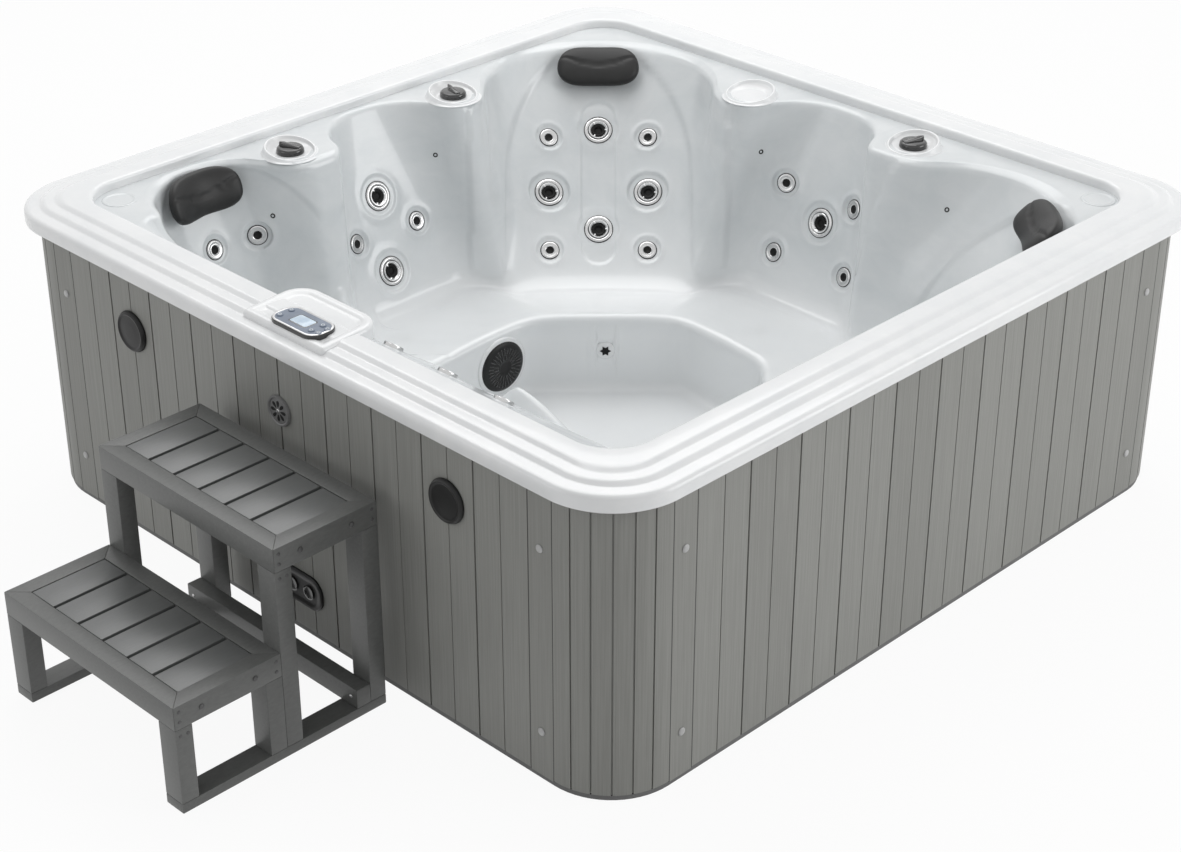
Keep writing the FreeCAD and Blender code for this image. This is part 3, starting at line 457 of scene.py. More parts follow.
def facing(point, normal):
    """Matrix of a place whose Z axis points along the normal and whose X axis is level."""
    square = Vector(normal).normalized()
    right = Vector((0, 0, 1)).cross(square).normalized()
    matrix = Matrix((right, square.cross(right), square)).transposed().to_4x4()
    matrix.translation = Vector(point)
    return matrix


print("seats", ", ".join(SEATS))

# %% [markdown]
# ## Places of the jets
# A jet on a seat is given by its seat, its distance sideways from the seat's middle and its height. Three
# more sit on the sloped front wall of the lounge, one looks out of the footwell's slanted wall, and the
# suction cover is on the wall beside it. Each place is a matrix whose Z axis stands square to the surface.

# %% Places of the jets
LARGE_JETS = [("far", 0, 0.586), ("far", 0.144, 0.451), ("far", -0.144, 0.451), ("far", 0, 0.370),
              ("side", 0.014, 0.556), ("side", 0.041, 0.360), ("rear", -0.020, 0.482)]
SMALL_JETS = [("far", 0.145, 0.573), ("far", -0.145, 0.573), ("far", 0.141, 0.325), ("far", -0.141, 0.325),
              ("side", -0.092, 0.459), ("side", 0.130, 0.460), ("left", -0.032, 0.566),
              ("left", -0.155, 0.575), ("rear", 0.124, 0.554), ("rear", -0.120, 0.549),
              ("rear", 0.110, 0.364), ("rear", -0.146, 0.371)]
AIR_NOZZLES = [("side", -0.178, 0.631), ("side", 0.190, 0.640), ("rear", 0.190, 0.641),
               ("rear", -0.190, 0.640), ("left", -0.190, 0.630), ("right", 0.295, 0.663)]
LOUNGE_JETS, LOUNGE_JET_HEIGHT = (-0.179, 0.021, 0.221), 0.510
LOUNGE_LEAN = (RIM_INSIDE - LIP_REACH) / (DECK - LIP)
FOOTWELL_JET_HEIGHT = 0.205
SUCTION_Y, SUCTION_HEIGHT = -0.045, 0.195
large_spots = [seat_spot(*mark) for mark in LARGE_JETS]
small_spots = [seat_spot(*mark) for mark in SMALL_JETS]
lounge_front = -(LIP_REACH + LOUNGE_LEAN * (LOUNGE_JET_HEIGHT - LIP))
lounge_spots = [facing((x, lounge_front, LOUNGE_JET_HEIGHT), (0, 1, LOUNGE_LEAN)) for x in LOUNGE_JETS]
small_spots += lounge_spots
well_run = np.subtract(FOOTWELL[2], FOOTWELL[1])
well_middle = np.add(FOOTWELL[1], FOOTWELL[2]) / 2
footwell_spot = facing((*well_middle, FOOTWELL_JET_HEIGHT), (well_run[1], -well_run[0], 0))
suction_run = np.subtract(FOOTWELL[1], FOOTWELL[0])
suction_share = (SUCTION_Y - FOOTWELL[0][1]) / suction_run[1]
suction_point = np.add(FOOTWELL[0], suction_run * suction_share)
suction_spot = facing((*suction_point, SUCTION_HEIGHT), (suction_run[1], -suction_run[0], 0))
print(len(large_spots), "large jets,", len(small_spots) + 1, "small jets")

# %% [markdown]
# ## Basin of the shell
# The inside of the shell is the main piece and the one that needs most care: it has to flow from seat to
# seat with no seam. It could be sculpted, or cut out of a block with booleans, but booleans leave knife edges
# between the seats. Here it follows a rule instead. At each height the outline is a smooth union of the
# seats' and the basin's outlines, and columns of points that look out from the middle find where they cross
# it. Each column then runs from the rim over the deck, round the edge, down the wall, over the seat and down
# into the footwell, with every change of direction rounded.


# %% Outline of the hollow at one height
def smooth_step(low, high, value):
    """0 below low, 1 above high and a soft rise between."""
    share = np.clip((value - low) / (high - low), 0, 1)
    return share * share * (3 - 2 * share)


def box_distance(along, beside, near, reach, half, bend):
    """Signed distance to a box with rounded corners, negative inside."""
    a = np.abs(along - (near + reach) / 2) - (reach - near) / 2 + bend
    b = np.abs(beside) - half + bend
    outside = np.hypot(np.maximum(a, 0), np.maximum(b, 0))
    return outside + np.minimum(np.maximum(a, b), 0) - bend


def smooth_lower(a, b, blend=0.05):
    """Lower of two values, with the change from one to the other blended."""
    share = np.clip(0.5 + 0.5 * (b - a) / blend, 0, 1)
    return b + (a - b) * share - blend * share * (1 - share)


# Reach of the open basin to the left and rear, to the right and to its cut-off corner: at the foot, and how
# much it grows up to the deck
ROOM_LEFT, ROOM_RIGHT, ROOM_CORNER = (0.640, 0.105), (0.790, 0.162), (0.575, 0.325)
ROOM_ROUND, CORNER_BLEND = 0.105, 0.10


def hollow_distance(x, y, z):
    """Signed distance to the outline of the hollow at height z, negative inside."""
    share = (z - FOOT) / (DECK - FOOT)
    left, right, corner = (low + grow * share for low, grow in (ROOM_LEFT, ROOM_RIGHT, ROOM_CORNER))
    front = LIP_REACH + LOUNGE_LEAN * (z - LIP)
    middle_x, middle_y = (right - left) / 2, (left - front) / 2
    room = box_distance(x - middle_x, y - middle_y, -(left + right) / 2, (left + right) / 2,
                        (left + front) / 2, ROOM_ROUND)
    cut_off = (y - x) / math.sqrt(2) - corner
    room = -smooth_lower(-room, -cut_off, CORNER_BLEND)
    for seat, (_, shift, start, *_) in SEATS.items():
        outward, across = seat_axes(seat)
        along = x * outward[0] + y * outward[1]
        beside = x * across[0] + y * across[1] - shift
        room = smooth_lower(room, box_distance(along, beside, start, *seat_section(seat, z)))
    return room


# Place that all columns look out from
MIDDLE = np.array([0.0, 0.02])
RAY_STEP = 0.01
RAY = np.arange(0.15, 1.42, RAY_STEP)


def leaves(values):
    """True where a row of distances turns from inside to outside."""
    return (values[:, :-1] < 0) & (values[:, 1:] >= 0)


def leaving_distance(values, index, ray, step):
    """Distance along each ray where it leaves, between its steps index and index + 1."""
    rows = np.arange(len(index))
    inner, outer = values[rows, index], values[rows, index + 1]
    return ray[index] + step * inner / (inner - outer)


def crossings(turns, z):
    """First and last distance along each ray where it leaves the hollow at height z."""
    cos, sin = np.cos(turns)[:, None], np.sin(turns)[:, None]
    values = hollow_distance(MIDDLE[0] + RAY * cos, MIDDLE[1] + RAY * sin, z)
    found = leaves(values)
    last = found.shape[1] - 1 - found[:, ::-1].argmax(axis=1)
    return [leaving_distance(values, index, RAY, RAY_STEP) for index in (found.argmax(axis=1), last)]


far_reach = crossings(np.radians([SEATS["far"][0]]), DECK)[1][0]
print("outline reaches", round(float(far_reach), 3), "m in the far seat")

# %% [markdown]
# The columns have to be close together where the outline turns quickly, at the ends of the ridges between
# seats, and may be far apart along a straight wall. So the outline is first walked with many fine steps at
# three heights, and the columns are spaced evenly along the length that was walked.


# %% Columns and how far each one reaches
COLUMNS = 640
FINE_TURNS = 7201
WALKED_HEIGHTS = DECK, 0.50, 0.30
LONGEST_STEP = 0.02


def spaced_turns():
    fine = np.linspace(-math.pi, math.pi, FINE_TURNS)
    walked = np.zeros(len(fine))
    for z in WALKED_HEIGHTS:
        reach = crossings(fine, z)[0]
        x, y = reach * np.cos(fine), reach * np.sin(fine)
        steps = np.minimum(np.hypot(np.diff(x), np.diff(y)), LONGEST_STEP)
        walked[1:] += np.cumsum(steps)
    even = np.linspace(0, walked[-1], COLUMNS + 1)[:-1]
    return np.interp(even, walked, fine)


turns = spaced_turns()
heading = np.stack([np.cos(turns), np.sin(turns)], axis=1)
# Half way up, a column that passes no ridge leaves the hollow once, and may then reach as far as it can
HALF_WAY = 0.40
first, last = crossings(turns, HALF_WAY)
leaves_once = np.abs(first - last) < 0.005
LEVELS = np.linspace(DECK, FOOT - 0.02, 90)
reaches = np.empty((COLUMNS, len(LEVELS)))
for index, level in enumerate(LEVELS):
    first, last = crossings(turns, level)
    reaches[:, index] = np.where(leaves_once, last, first)
reaches = np.minimum.accumulate(reaches, axis=1)


def reach_at(z):
    """Reach of every column, each at its own height z."""
    place = (DECK - np.asarray(z)) / (LEVELS[0] - LEVELS[1])
    low = np.clip(np.floor(place).astype(int), 0, len(LEVELS) - 2)
    rows = np.arange(COLUMNS)
    share = np.clip(place - low, 0, 1)
    return reaches[rows, low] * (1 - share) + reaches[rows, low + 1] * share


def floor_height(reach):
    """Height of the sloped seat under every column, each at its own reach."""
    x, y = MIDDLE[0] + reach * heading[:, 0], MIDDLE[1] + reach * heading[:, 1]
    return np.clip(LIP - SEAT_SLOPE * (np.hypot(x, y) - LIP_REACH), FOOT, LIP)


# The wall meets the seat where both have the same height, which is found by halving the space between
low, high = np.full(COLUMNS, FOOT - 0.01), np.full(COLUMNS, LIP + 0.01)
for _ in range(24):
    middle = (low + high) / 2
    above = floor_height(reach_at(middle)) < middle
    high = np.where(above, middle, high)
    low = np.where(above, low, middle)
foot_height = (low + high) / 2
foot_reach = reach_at(foot_height)
print("columns", COLUMNS, "feet between", foot_height.min().round(3), "and", foot_height.max().round(3))


# %% [markdown]
# The footwell's outline has six soft corners, and the inner edge of the rim is a rounded square. Both are
# found along the same columns, each by its distance function.

# %% Footwell and rim along the columns
FINE_STEP = 0.004
FINE_RAY = np.arange(0.05, 1.5, FINE_STEP)
WELL_BLEND = 0.03


def ray_reach(distance):
    values = distance(MIDDLE[0] + FINE_RAY * heading[:, :1], MIDDLE[1] + FINE_RAY * heading[:, 1:])
    return leaving_distance(values, leaves(values).argmax(axis=1), FINE_RAY, FINE_STEP)


def well_distance(x, y):
    """Signed distance to the footwell's outline: the largest over its edges, with the corners softened."""
    result = None
    for here, there in zip(FOOTWELL, FOOTWELL[1:] + FOOTWELL[:1]):
        run = np.subtract(there, here)
        normal = np.array([-run[1], run[0]]) / np.linalg.norm(run)
        side = (x - here[0]) * normal[0] + (y - here[1]) * normal[1]
        result = side if result is None else -smooth_lower(-result, -side, WELL_BLEND)
    return result


well_reach = ray_reach(well_distance)
rim_reach = ray_reach(lambda x, y: box_distance(x, y, -RIM_INSIDE, RIM_INSIDE, RIM_INSIDE, RIM_ROUND))
print("footwell reaches", well_reach.min().round(3), "to", well_reach.max().round(3))

# %% [markdown]
# Now the rows. Going down one column there is the deck, a rounded edge, the wall, a soft hollow where the
# wall meets the seat, the seat itself, the roll over the lip and the footwell. Where the seat is short, as
# at the nose of the lounge, the hollow and the roll would collide, so there the column follows one smooth
# curve instead, and the two ways are blended by how much seat there is.


# %% Rows of the basin
WELL_FLOOR = 0.085
# Rounds of the deck's edge, of the hollow where wall meets seat, of the lip and of the footwell's foot
DECK_ROUND, HOLLOW_ROUND, LIP_ROUND, WELL_ROUND = 0.016, 0.055, 0.034, 0.045
# A round takes at most this share of the seat, and is never smaller than this
SEAT_SHARE, LEAST_ROUND = 0.42, 0.004
# Depth under the lip where the one smooth curve ends, and the runs of seat between which it fades out
ROLL_DROP = 0.05
SHORT_SEAT, LONG_SEAT = 0.03, 0.13


def bent(start, corner, end, steps):
    """Points of a quadratic curve for every column at once."""
    t = np.linspace(0, 1, steps)[:, None, None]
    return (1 - t) ** 2 * start + 2 * t * (1 - t) * corner + t * t * end


def pairs(reach, height):
    """Reach and height of every column, side by side."""
    return np.stack([reach, np.broadcast_to(height, reach.shape)], axis=1)


rows = []
edge = np.clip(rim_reach - reaches[:, 0], 0.0004, DECK_ROUND)
for share in (0.0, 0.25, 0.5, 0.75):
    rows.append(pairs(rim_reach + (reaches[:, 0] + edge - rim_reach) * share, DECK))
rows += list(bent(pairs(reaches[:, 0] + edge, DECK), pairs(reaches[:, 0], DECK),
                  pairs(reach_at(DECK - edge), DECK - edge), 6))
seat_run = foot_reach - well_reach
hollow_round = np.clip(SEAT_SHARE * seat_run, LEAST_ROUND, HOLLOW_ROUND)
wall_end = foot_height + HOLLOW_ROUND
for share in np.linspace(0, 1, 42)[1:]:
    z = (DECK - edge) + (wall_end - DECK + edge) * share
    rows.append(pairs(reach_at(z), z))
wall_rows = len(rows)

foot = pairs(foot_reach, foot_height)
lip = pairs(well_reach, floor_height(well_reach))
toward = (lip - foot) / np.linalg.norm(lip - foot, axis=1)[:, None]
wall_low = pairs(reach_at(foot_height + hollow_round), foot_height + hollow_round)
lip_round = np.clip(SEAT_SHARE * seat_run, LEAST_ROUND, LIP_ROUND)
seat_start = foot + toward * hollow_round[:, None]
seat_end = lip - toward * lip_round[:, None]
well_top = pairs(well_reach, lip[:, 1] - lip_round)
filleted = np.concatenate([bent(wall_low, foot, seat_start, 10),
                           [seat_start + (seat_end - seat_start) * s for s in np.linspace(0, 1, 12)[1:-1]],
                           bent(seat_end, lip, well_top, 10)])
upper = pairs(reach_at(wall_end), wall_end)
lower = pairs(well_reach, lip[:, 1] - ROLL_DROP)
t = np.linspace(0, 1, len(filleted))[:, None, None]
rolled = (1 - t) ** 3 * upper + 3 * t * (1 - t) ** 2 * foot + 3 * t * t * (1 - t) * lip + t ** 3 * lower
seat_share = smooth_step(SHORT_SEAT, LONG_SEAT, seat_run)[None, :, None]
rows += list(filleted * seat_share + rolled * (1 - seat_share))

well_start = rows[-1]
well_bend = pairs(well_reach, WELL_FLOOR + WELL_ROUND)
for share in (0.33, 0.66):
    rows.append(well_start + (well_bend - well_start) * share)
rows += list(bent(well_bend, pairs(well_reach, WELL_FLOOR), pairs(well_reach - WELL_ROUND, WELL_FLOOR), 7))
for share in (0.75, 0.5, 0.25):
    rows.append(pairs((well_reach - WELL_ROUND) * share, WELL_FLOOR))
print("rows", len(rows), "of which wall", wall_rows)

# %% [markdown]
# The rows and columns become one mesh. A column looks out from the middle, so it meets the flank beside the
# left seat and the end of the lounge nearly edge on, and there its points lie far apart and unevenly. These
# places are smoothed in BMesh, and the widest edges of the flank are divided.


# %% Basin mesh and its flanks
def basin_mesh():
    grid = np.array(rows)
    x = MIDDLE[0] + grid[:, :, 0] * heading[None, :, 0]
    y = MIDDLE[1] + grid[:, :, 0] * heading[None, :, 1]
    points, faces = stacked(np.stack([x, y, grid[:, :, 1]], axis=2))
    centre = len(points)
    last = centre - COLUMNS
    faces += [(last + here, last + (here + 1) % COLUMNS, centre) for here in range(COLUMNS)]
    return points + [(*MIDDLE, WELL_FLOOR)], faces


basin = new_piece("shell_basin", *basin_mesh(), acrylic_basin_painted_light_and_shade, angle=60)
work = bmesh.new()
work.from_mesh(basin.data)
bmesh.ops.remove_doubles(work, verts=work.verts, dist=0.00001)

# Low and high corner of boxes round surfaces that are turned away from the middle of the columns
FLANK = (-0.98, -0.48, 0.30), (-0.62, -0.27, 0.765)
FLANK_FOOT = (-0.82, -0.42, 0.19), (-0.50, -0.18, 0.46)
LOUNGE_END = (-0.46, -0.76, 0.19), (-0.245, -0.27, 0.62)
WIDE_EDGE = 0.009


def ease(box, rounds):
    """Smooth the surface inside a box and return its vertices."""
    low, high = box
    inner = [v for v in work.verts if all(a < value < b for a, value, b in zip(low, v.co, high))]
    axes = {f"use_axis_{axis}": True for axis in "xyz"}
    for _ in range(rounds):
        bmesh.ops.smooth_vert(work, verts=inner, factor=0.5, **axes)
    return set(inner)


on_flank = ease(FLANK, 24)
ease(FLANK_FOOT, 40)
ease(LOUNGE_END, 40)
wide = [edge for edge in work.edges if on_flank.issuperset(edge.verts) and edge.calc_length() > WIDE_EDGE]
bmesh.ops.subdivide_edges(work, edges=wide, cuts=3, use_grid_fill=True)
ease(FLANK, 8)
print("wide edges divided on the flank", len(wide))

# %% [markdown]
# ## Dishes, channel and arches
# Round each jet the mould has a shallow dish, so that the jet's ring can sit flat on a hollow wall. In the
# far seat an upright channel joins the two middle jets, and a raised band frames the backs of three seats
# like a second arch. All these are moves of points, along the wall's own normal or, for a dish, along the
# axis of its jet. Before that, the faces near the jets and along the channel's edge are divided in three, so
# that the edges come out clean.

# %% Finer faces near the jets and along the channel
# Radius of the flat, of its raised edge and of the fade, then radius and depth of the hole for the jet
LARGE_DISH = (0.056, 0.0620, 0.086, 0.034, 0.016)
SMALL_DISH = (0.036, 0.0408, 0.058, 0.0205, 0.010)
dishes = [(spot, *LARGE_DISH) for spot in large_spots]
dishes += [(spot, *SMALL_DISH) for spot in small_spots + [footwell_spot]]
CHANNEL_ENDS = 0.330, 0.616
# Half width of the channel at the foot and top of its edge, its depth and the heights where it runs out
CHANNEL_EDGE, CHANNEL_DEPTH, CHANNEL_FADE = (0.0465, 0.0525), 0.0048, (0.245, 0.285)
channel_low, channel_high = (np.array(seat_spot("far", 0, z).translation) for z in CHANNEL_ENDS)


def from_channel(places):
    """Distance of each place from the line that runs up the middle of the channel."""
    run = channel_high - channel_low
    share = np.clip(((places - channel_low) @ run) / (run @ run), 0, 1)
    return np.linalg.norm(places - channel_low - share[:, None] * run, axis=1)


work.faces.ensure_lookup_table()
centres = np.array([face.calc_center_median() for face in work.faces])
# Middle and half width of the band along the channel's edge that is divided, and the margin round a dish
DIVIDED_EDGE, DIVIDED_HALF, DIVIDED_MARGIN = 0.050, 0.012, 0.020
near = np.abs(from_channel(centres) - DIVIDED_EDGE) < DIVIDED_HALF
for spot, flat, *_ in dishes:
    near |= np.linalg.norm(centres - np.array(spot.translation), axis=1) < flat + DIVIDED_MARGIN
edges = dict.fromkeys(edge for face in work.faces if near[face.index] for edge in face.edges)
bmesh.ops.subdivide_edges(work, edges=list(edges), cuts=2, use_grid_fill=True)
work.to_mesh(basin.data)
work.free()
basin.data.update()
print("faces divided near jets and channel", int(near.sum()))

# %% [markdown]
# The channel and the arches come first. On the left seat the arch leaves the back on one side and sweeps out
# along the flank towards the next seat, as a quarter of an ellipse.

# %% Channel and arches
count = len(basin.data.vertices)
place, square = np.empty(count * 3), np.empty(count * 3)
basin.data.vertices.foreach_get("co", place)
basin.data.vertex_normals.foreach_get("vector", square)
place, square = place.reshape(-1, 3), square.reshape(-1, 3)
in_channel = (1 - smooth_step(*CHANNEL_EDGE, from_channel(place))) * smooth_step(*CHANNEL_FADE, place[:, 2])
place -= square * (CHANNEL_DEPTH * in_channel)[:, None]

# Half width of each inner arch, the height where it starts to bend in and the height of its top
ARCHES = {"far": (0.270, 0.520, 0.775), "right": (0.205, 0.560, 0.775), "left": (0.165, 0.560, 0.772)}
# Height of the band, how far beside the seat it goes, and how level a surface may be to have it
ARCH_LIFT, ARCH_MARGIN, ARCH_LEVEL = 0.008, 0.03, 0.85
# The band sets in between these shares of the arch's size and these distances out along the seat
ARCH_EDGE, ARCH_NEAR = (0.975, 1.035), (0.40, 0.50)
# It grows between the first two heights and ends between the other two
ARCH_FOOT, ARCH_TOP = (0.27, 0.33), (DECK - 0.016, DECK - 0.002)
# Centre of the sweep out along the seat and in height, its half sizes, and from where to where it lies beside
SWEEP_MIDDLE, SWEEP_SIZE = (0.93, 0.43), (0.23, 0.33)
SWEEP_FROM, SWEEP_TO = -0.08, -0.42
# The sweep sets in between these distances, and fades where the surface turns to the rear
SWEEP_NEAR, SWEEP_TURNED = (0.55, 0.62), (0.1, 0.6)


def arch_band(share):
    return smooth_step(*ARCH_EDGE, share)


for seat, (half, bend_from, top) in ARCHES.items():
    outward, across = seat_axes(seat)
    along, beside, z = place @ outward, place @ across - SEATS[seat][1], place[:, 2]
    rise = smooth_step(*ARCH_FOOT, z) * (1 - smooth_step(*ARCH_TOP, z))
    inside = (np.abs(beside) < SEATS[seat][4][1] + ARCH_MARGIN) & (np.abs(square[:, 2]) < ARCH_LEVEL)
    band = arch_band(np.hypot(beside / half, np.maximum(z - bend_from, 0) / (top - bend_from)))
    band *= smooth_step(*ARCH_NEAR, along)
    if seat == "left":
        sweep = arch_band(np.hypot((SWEEP_MIDDLE[0] - along) / SWEEP_SIZE[0],
                                   np.maximum(z - SWEEP_MIDDLE[1], 0) / SWEEP_SIZE[1]))
        sweep *= smooth_step(*SWEEP_NEAR, along) * (1 - smooth_step(*SWEEP_TURNED, square[:, 1]))
        inside = np.where(beside < SWEEP_FROM, beside > SWEEP_TO, inside)
        band = np.where(beside < SWEEP_FROM, sweep, band)
    place += square * (ARCH_LIFT * band * rise * inside)[:, None]
print("arches", len(ARCHES))

# %% [markdown]
# A rounded divider rises from the front lip of the footwell, steep on the left and falling slowly to the
# right. The dishes come last, because each is worked out from where the surface is by then. Behind each jet
# the surface is pushed back, so that it doesn't show inside the ring.

# %% Divider and dishes
DIVIDER_HIGH = 0.056
# From x to x: the steep rise, then the slow fall
DIVIDER_RISE, DIVIDER_FALL = (-0.085, -0.005), (-0.02, 0.24)
# Where it starts to fade to the front and how far that takes, its rear end and the heights where it sets in
DIVIDER_FRONT, DIVIDER_FADE, DIVIDER_REAR, DIVIDER_FOOT = -0.305, 0.075, -0.20, (0.235, 0.300)
x, y, z = place.T
divider = DIVIDER_HIGH * smooth_step(*DIVIDER_RISE, x) * (1 - smooth_step(*DIVIDER_FALL, x))
divider *= 1 - smooth_step(0.0, DIVIDER_FADE, DIVIDER_FRONT - y)
divider *= (y < DIVIDER_REAR) * smooth_step(*DIVIDER_FOOT, z)
place[:, 2] += divider

# How far a dish lies under the rule's surface, the swell round it, the hole's edge and how far a dish acts
DISH_DEPTH, DISH_SWELL, HOLE_EDGE, DISH_RANGE = 0.0018, 0.0024, 0.004, 0.05
for spot, flat, ridge, fade, hole, deep in dishes:
    local = np.array(spot.inverted())
    beside = place @ local[:3, :3].T + local[:3, 3]
    radius = np.hypot(beside[:, 0], beside[:, 1])
    level = 1 - smooth_step(flat, ridge, radius)
    swell = DISH_SWELL * (1 - smooth_step(ridge, fade, radius))
    height = -DISH_DEPTH * level + (beside[:, 2] + swell) * (1 - level)
    height -= deep * (1 - smooth_step(hole, hole + HOLE_EDGE, radius))
    drop = (height - beside[:, 2]) * (np.abs(beside[:, 2]) < DISH_RANGE)
    place += drop[:, None] * np.array(spot.col[2][:3])
basin.data.vertices.foreach_set("co", place.ravel())
basin.data.update()
attach(basin, "tub", "acrylic", "acrylic_shell")
print("basin faces", len(basin.data.polygons))

# %% [markdown]
# ## Rim
# The rim is the rolled edge of the same sheet: a skirt with a slanted lower edge that hangs over the boards,
# two low tiers with sloped risers and a flat ring. It is one profile carried round a square with rounded
# corners. Each point of the profile has its own corner radius, so the skirt and the tiers stay parallel all
# the way round.


# %% Rim
def square_ring(half, bend, z, steps=20):
    """Square with rounded corners, counterclockwise."""
    ring = []
    straight = half - bend
    for corner, (sx, sy) in enumerate(((1, 1), (-1, 1), (-1, -1), (1, -1))):
        for step in range(steps + 1):
            turn = math.pi / 2 * (corner + step / steps)
            ring.append((sx * straight + bend * math.cos(turn), sy * straight + bend * math.sin(turn), z))
    return ring


# Heights of the two tiers and of the flat ring
TIER_LOW, TIER_HIGH, RIM_TOP = 0.791, 0.800, 0.808
# Half widths of the foot and the top of each riser, and of the middle of the tier between them
RISER_LOW, TIER_MIDDLE, RISER_HIGH = (1.061, 1.048), 1.029, (1.022, 1.009)
RISER_ROUND, SKIRT_ROUND, INNER_ROUND = 0.0055, 0.016, 0.012
# Half widths of the skirt's inner and outer face, and the heights of its lower edge at each
SKIRT_INSIDE, SKIRT_OUTSIDE = 1.076, 1.0998
SKIRT_LOW, SKIRT_RAISED = 0.7375, 0.7530
# Half width of the constructed rim and the corner radius there
RIM_HALF, RIM_OUTER_ROUND = 1.100, 0.190


def rim_profile():
    """Half width and height from under the skirt, over the tiers and down to the deck."""
    (low_foot, low_top), (high_foot, high_top) = RISER_LOW, RISER_HIGH
    outer = [(SKIRT_INSIDE, 0.752), (SKIRT_INSIDE, SKIRT_LOW), (SKIRT_OUTSIDE, SKIRT_RAISED)]
    skirt = rounded([(SKIRT_OUTSIDE, SKIRT_RAISED), (SKIRT_OUTSIDE, TIER_LOW), (low_foot, TIER_LOW)],
                    SKIRT_ROUND, 6)
    low = rounded([(1.068, TIER_LOW), (low_foot, TIER_LOW), (low_top, TIER_HIGH), (TIER_MIDDLE, TIER_HIGH)],
                  RISER_ROUND, 5)
    high = rounded([(TIER_MIDDLE, TIER_HIGH), (high_foot, TIER_HIGH), (high_top, RIM_TOP),
                    (RIM_INSIDE, RIM_TOP)], RISER_ROUND, 5)
    inner = rounded([(0.985, RIM_TOP), (RIM_INSIDE, RIM_TOP), (RIM_INSIDE, DECK - 0.0002)], INNER_ROUND, 6)
    return rounded(outer + skirt[1:-1], 0.003, 2)[:-1] + skirt[-2:-1] + low[:-1] + high[:-1] + inner


def rim_bend(half):
    """Corner radius of the rim at one half width."""
    if half < RISER_HIGH[0]:
        return RIM_ROUND
    return RIM_OUTER_ROUND - (RIM_HALF - half)


profile = rim_profile()
points, faces = stacked([square_ring(half, rim_bend(half), z) for half, z in profile])
rim = new_piece("shell_rim", points, faces, acrylic_rim, angle=50)
attach(rim, "tub", "acrylic")
print("rim profile points", len(profile))

# %% [markdown]
# ## Pads, cup rests and the panel's pad
# On the deck stand four low round pads, three of which carry a diverter knob, and two corners have a shallow
# round rest for a cup. They are moulded with the shell, so they have its finishes. Each is a turned profile
# with soft edges, and the edge of a pad leans: it stands higher on the side away from the water. The control
# panel has a pad of its own: a rounded outline that rises just above the rim.


# %% Pads and cup rests
def turned_piece(name, profile, matrix, finish, steps):
    points, faces = lathe(profile, steps)
    return new_piece(name, moved(points, matrix), faces, finish, 40)


PADS = [(-0.824, -0.362), (-0.819, 0.218), (0.327, 0.837), (-0.231, 0.812)]
CUPS = [(-0.885, -0.868), (0.880, 0.890)]
PAD_PROFILE = rounded([(0.080, DECK - 0.002), (0.0745, DECK + 0.003), (0.0685, DECK + 0.0135),
                       (0.0645, DECK + 0.0135), (0.0610, DECK + 0.0045), (0.045, DECK + 0.0012),
                       (0.0, DECK + 0.0004)], 0.003, 4)
PAD_LEAN = 0.17
# Radii between which a pad's leaning edge begins and ends
EDGE_BEGINS, EDGE_ENDS = (0.050, 0.060), (0.069, 0.080)
CUP_PROFILE = rounded([(0.046, DECK - 0.001), (0.043, DECK + 0.0022), (0.039, DECK + 0.0022),
                       (0.034, DECK + 0.0004), (0.0, DECK + 0.0002)], 0.003, 4)


def leaning_pad(x, y):
    """Round pad whose edge stands higher on the side away from the water."""
    across = abs(x) > abs(y)
    points, faces = lathe(PAD_PROFILE, 64)
    placed = []
    for px, py, pz in points:
        radius = math.hypot(px, py)
        edge_share = float(smooth_step(*EDGE_BEGINS, radius) * (1 - smooth_step(*EDGE_ENDS, radius)))
        outward = px * math.copysign(1, x) if across else py * math.copysign(1, y)
        placed.append((x + px, y + py, pz + PAD_LEAN * edge_share * outward))
    return placed, faces


for number, (x, y) in enumerate(PADS, start=1):
    pad = new_piece(f"deck_pad_{number}", *leaning_pad(x, y), acrylic_rim, 40)
    attach(pad, "tub", "acrylic")
for number, (x, y) in enumerate(CUPS, start=1):
    cup = turned_piece(f"cup_rest_{number}", CUP_PROFILE, Matrix.Translation((x, y, 0)), acrylic_basin_painted_light_and_shade, 64)
    attach(cup, "tub", "acrylic")
print("pads", len(PADS), "cup rests", len(CUPS))


# %% Pad of the control panel
def outline_ring(corners, z, steps=10):
    """Closed outline of x, y and corner radius, drawn counterclockwise."""
    ring = []
    for index, (x, y, bend) in enumerate(corners):
        here = np.array([x, y])
        back = np.array(corners[index - 1][:2]) - here
        ahead = np.array(corners[(index + 1) % len(corners)][:2]) - here
        back, ahead = back / np.linalg.norm(back), ahead / np.linalg.norm(ahead)
        centre = here + (back + ahead) * bend
        start = math.atan2(*(-ahead)[::-1])
        for step in range(steps + 1):
            turn = start + math.pi / 2 * step / steps
            ring.append((centre[0] + bend * math.cos(turn), centre[1] + bend * math.sin(turn), z))
    return ring


def oblong_ring(half_x, half_y, bend, x, y, z, steps):
    """Rounded oblong round a place, counterclockwise."""
    left, right, front, rear = x - half_x, x + half_x, y - half_y, y + half_y
    corners = [(left, front, bend), (right, front, bend), (right, rear, bend), (left, rear, bend)]
    return outline_ring(corners, z, steps)


# Left, right, front and rear side of the panel's pad
PANEL_PAD_SIDES = -0.129, 0.160, -1.064, -0.880
# How far the pad's top comes down towards the front, between which distances, and above which height
PAD_DROP, PAD_DROP_RUN, PAD_DROP_ABOVE = 0.006, (0.985, 1.050), 0.78


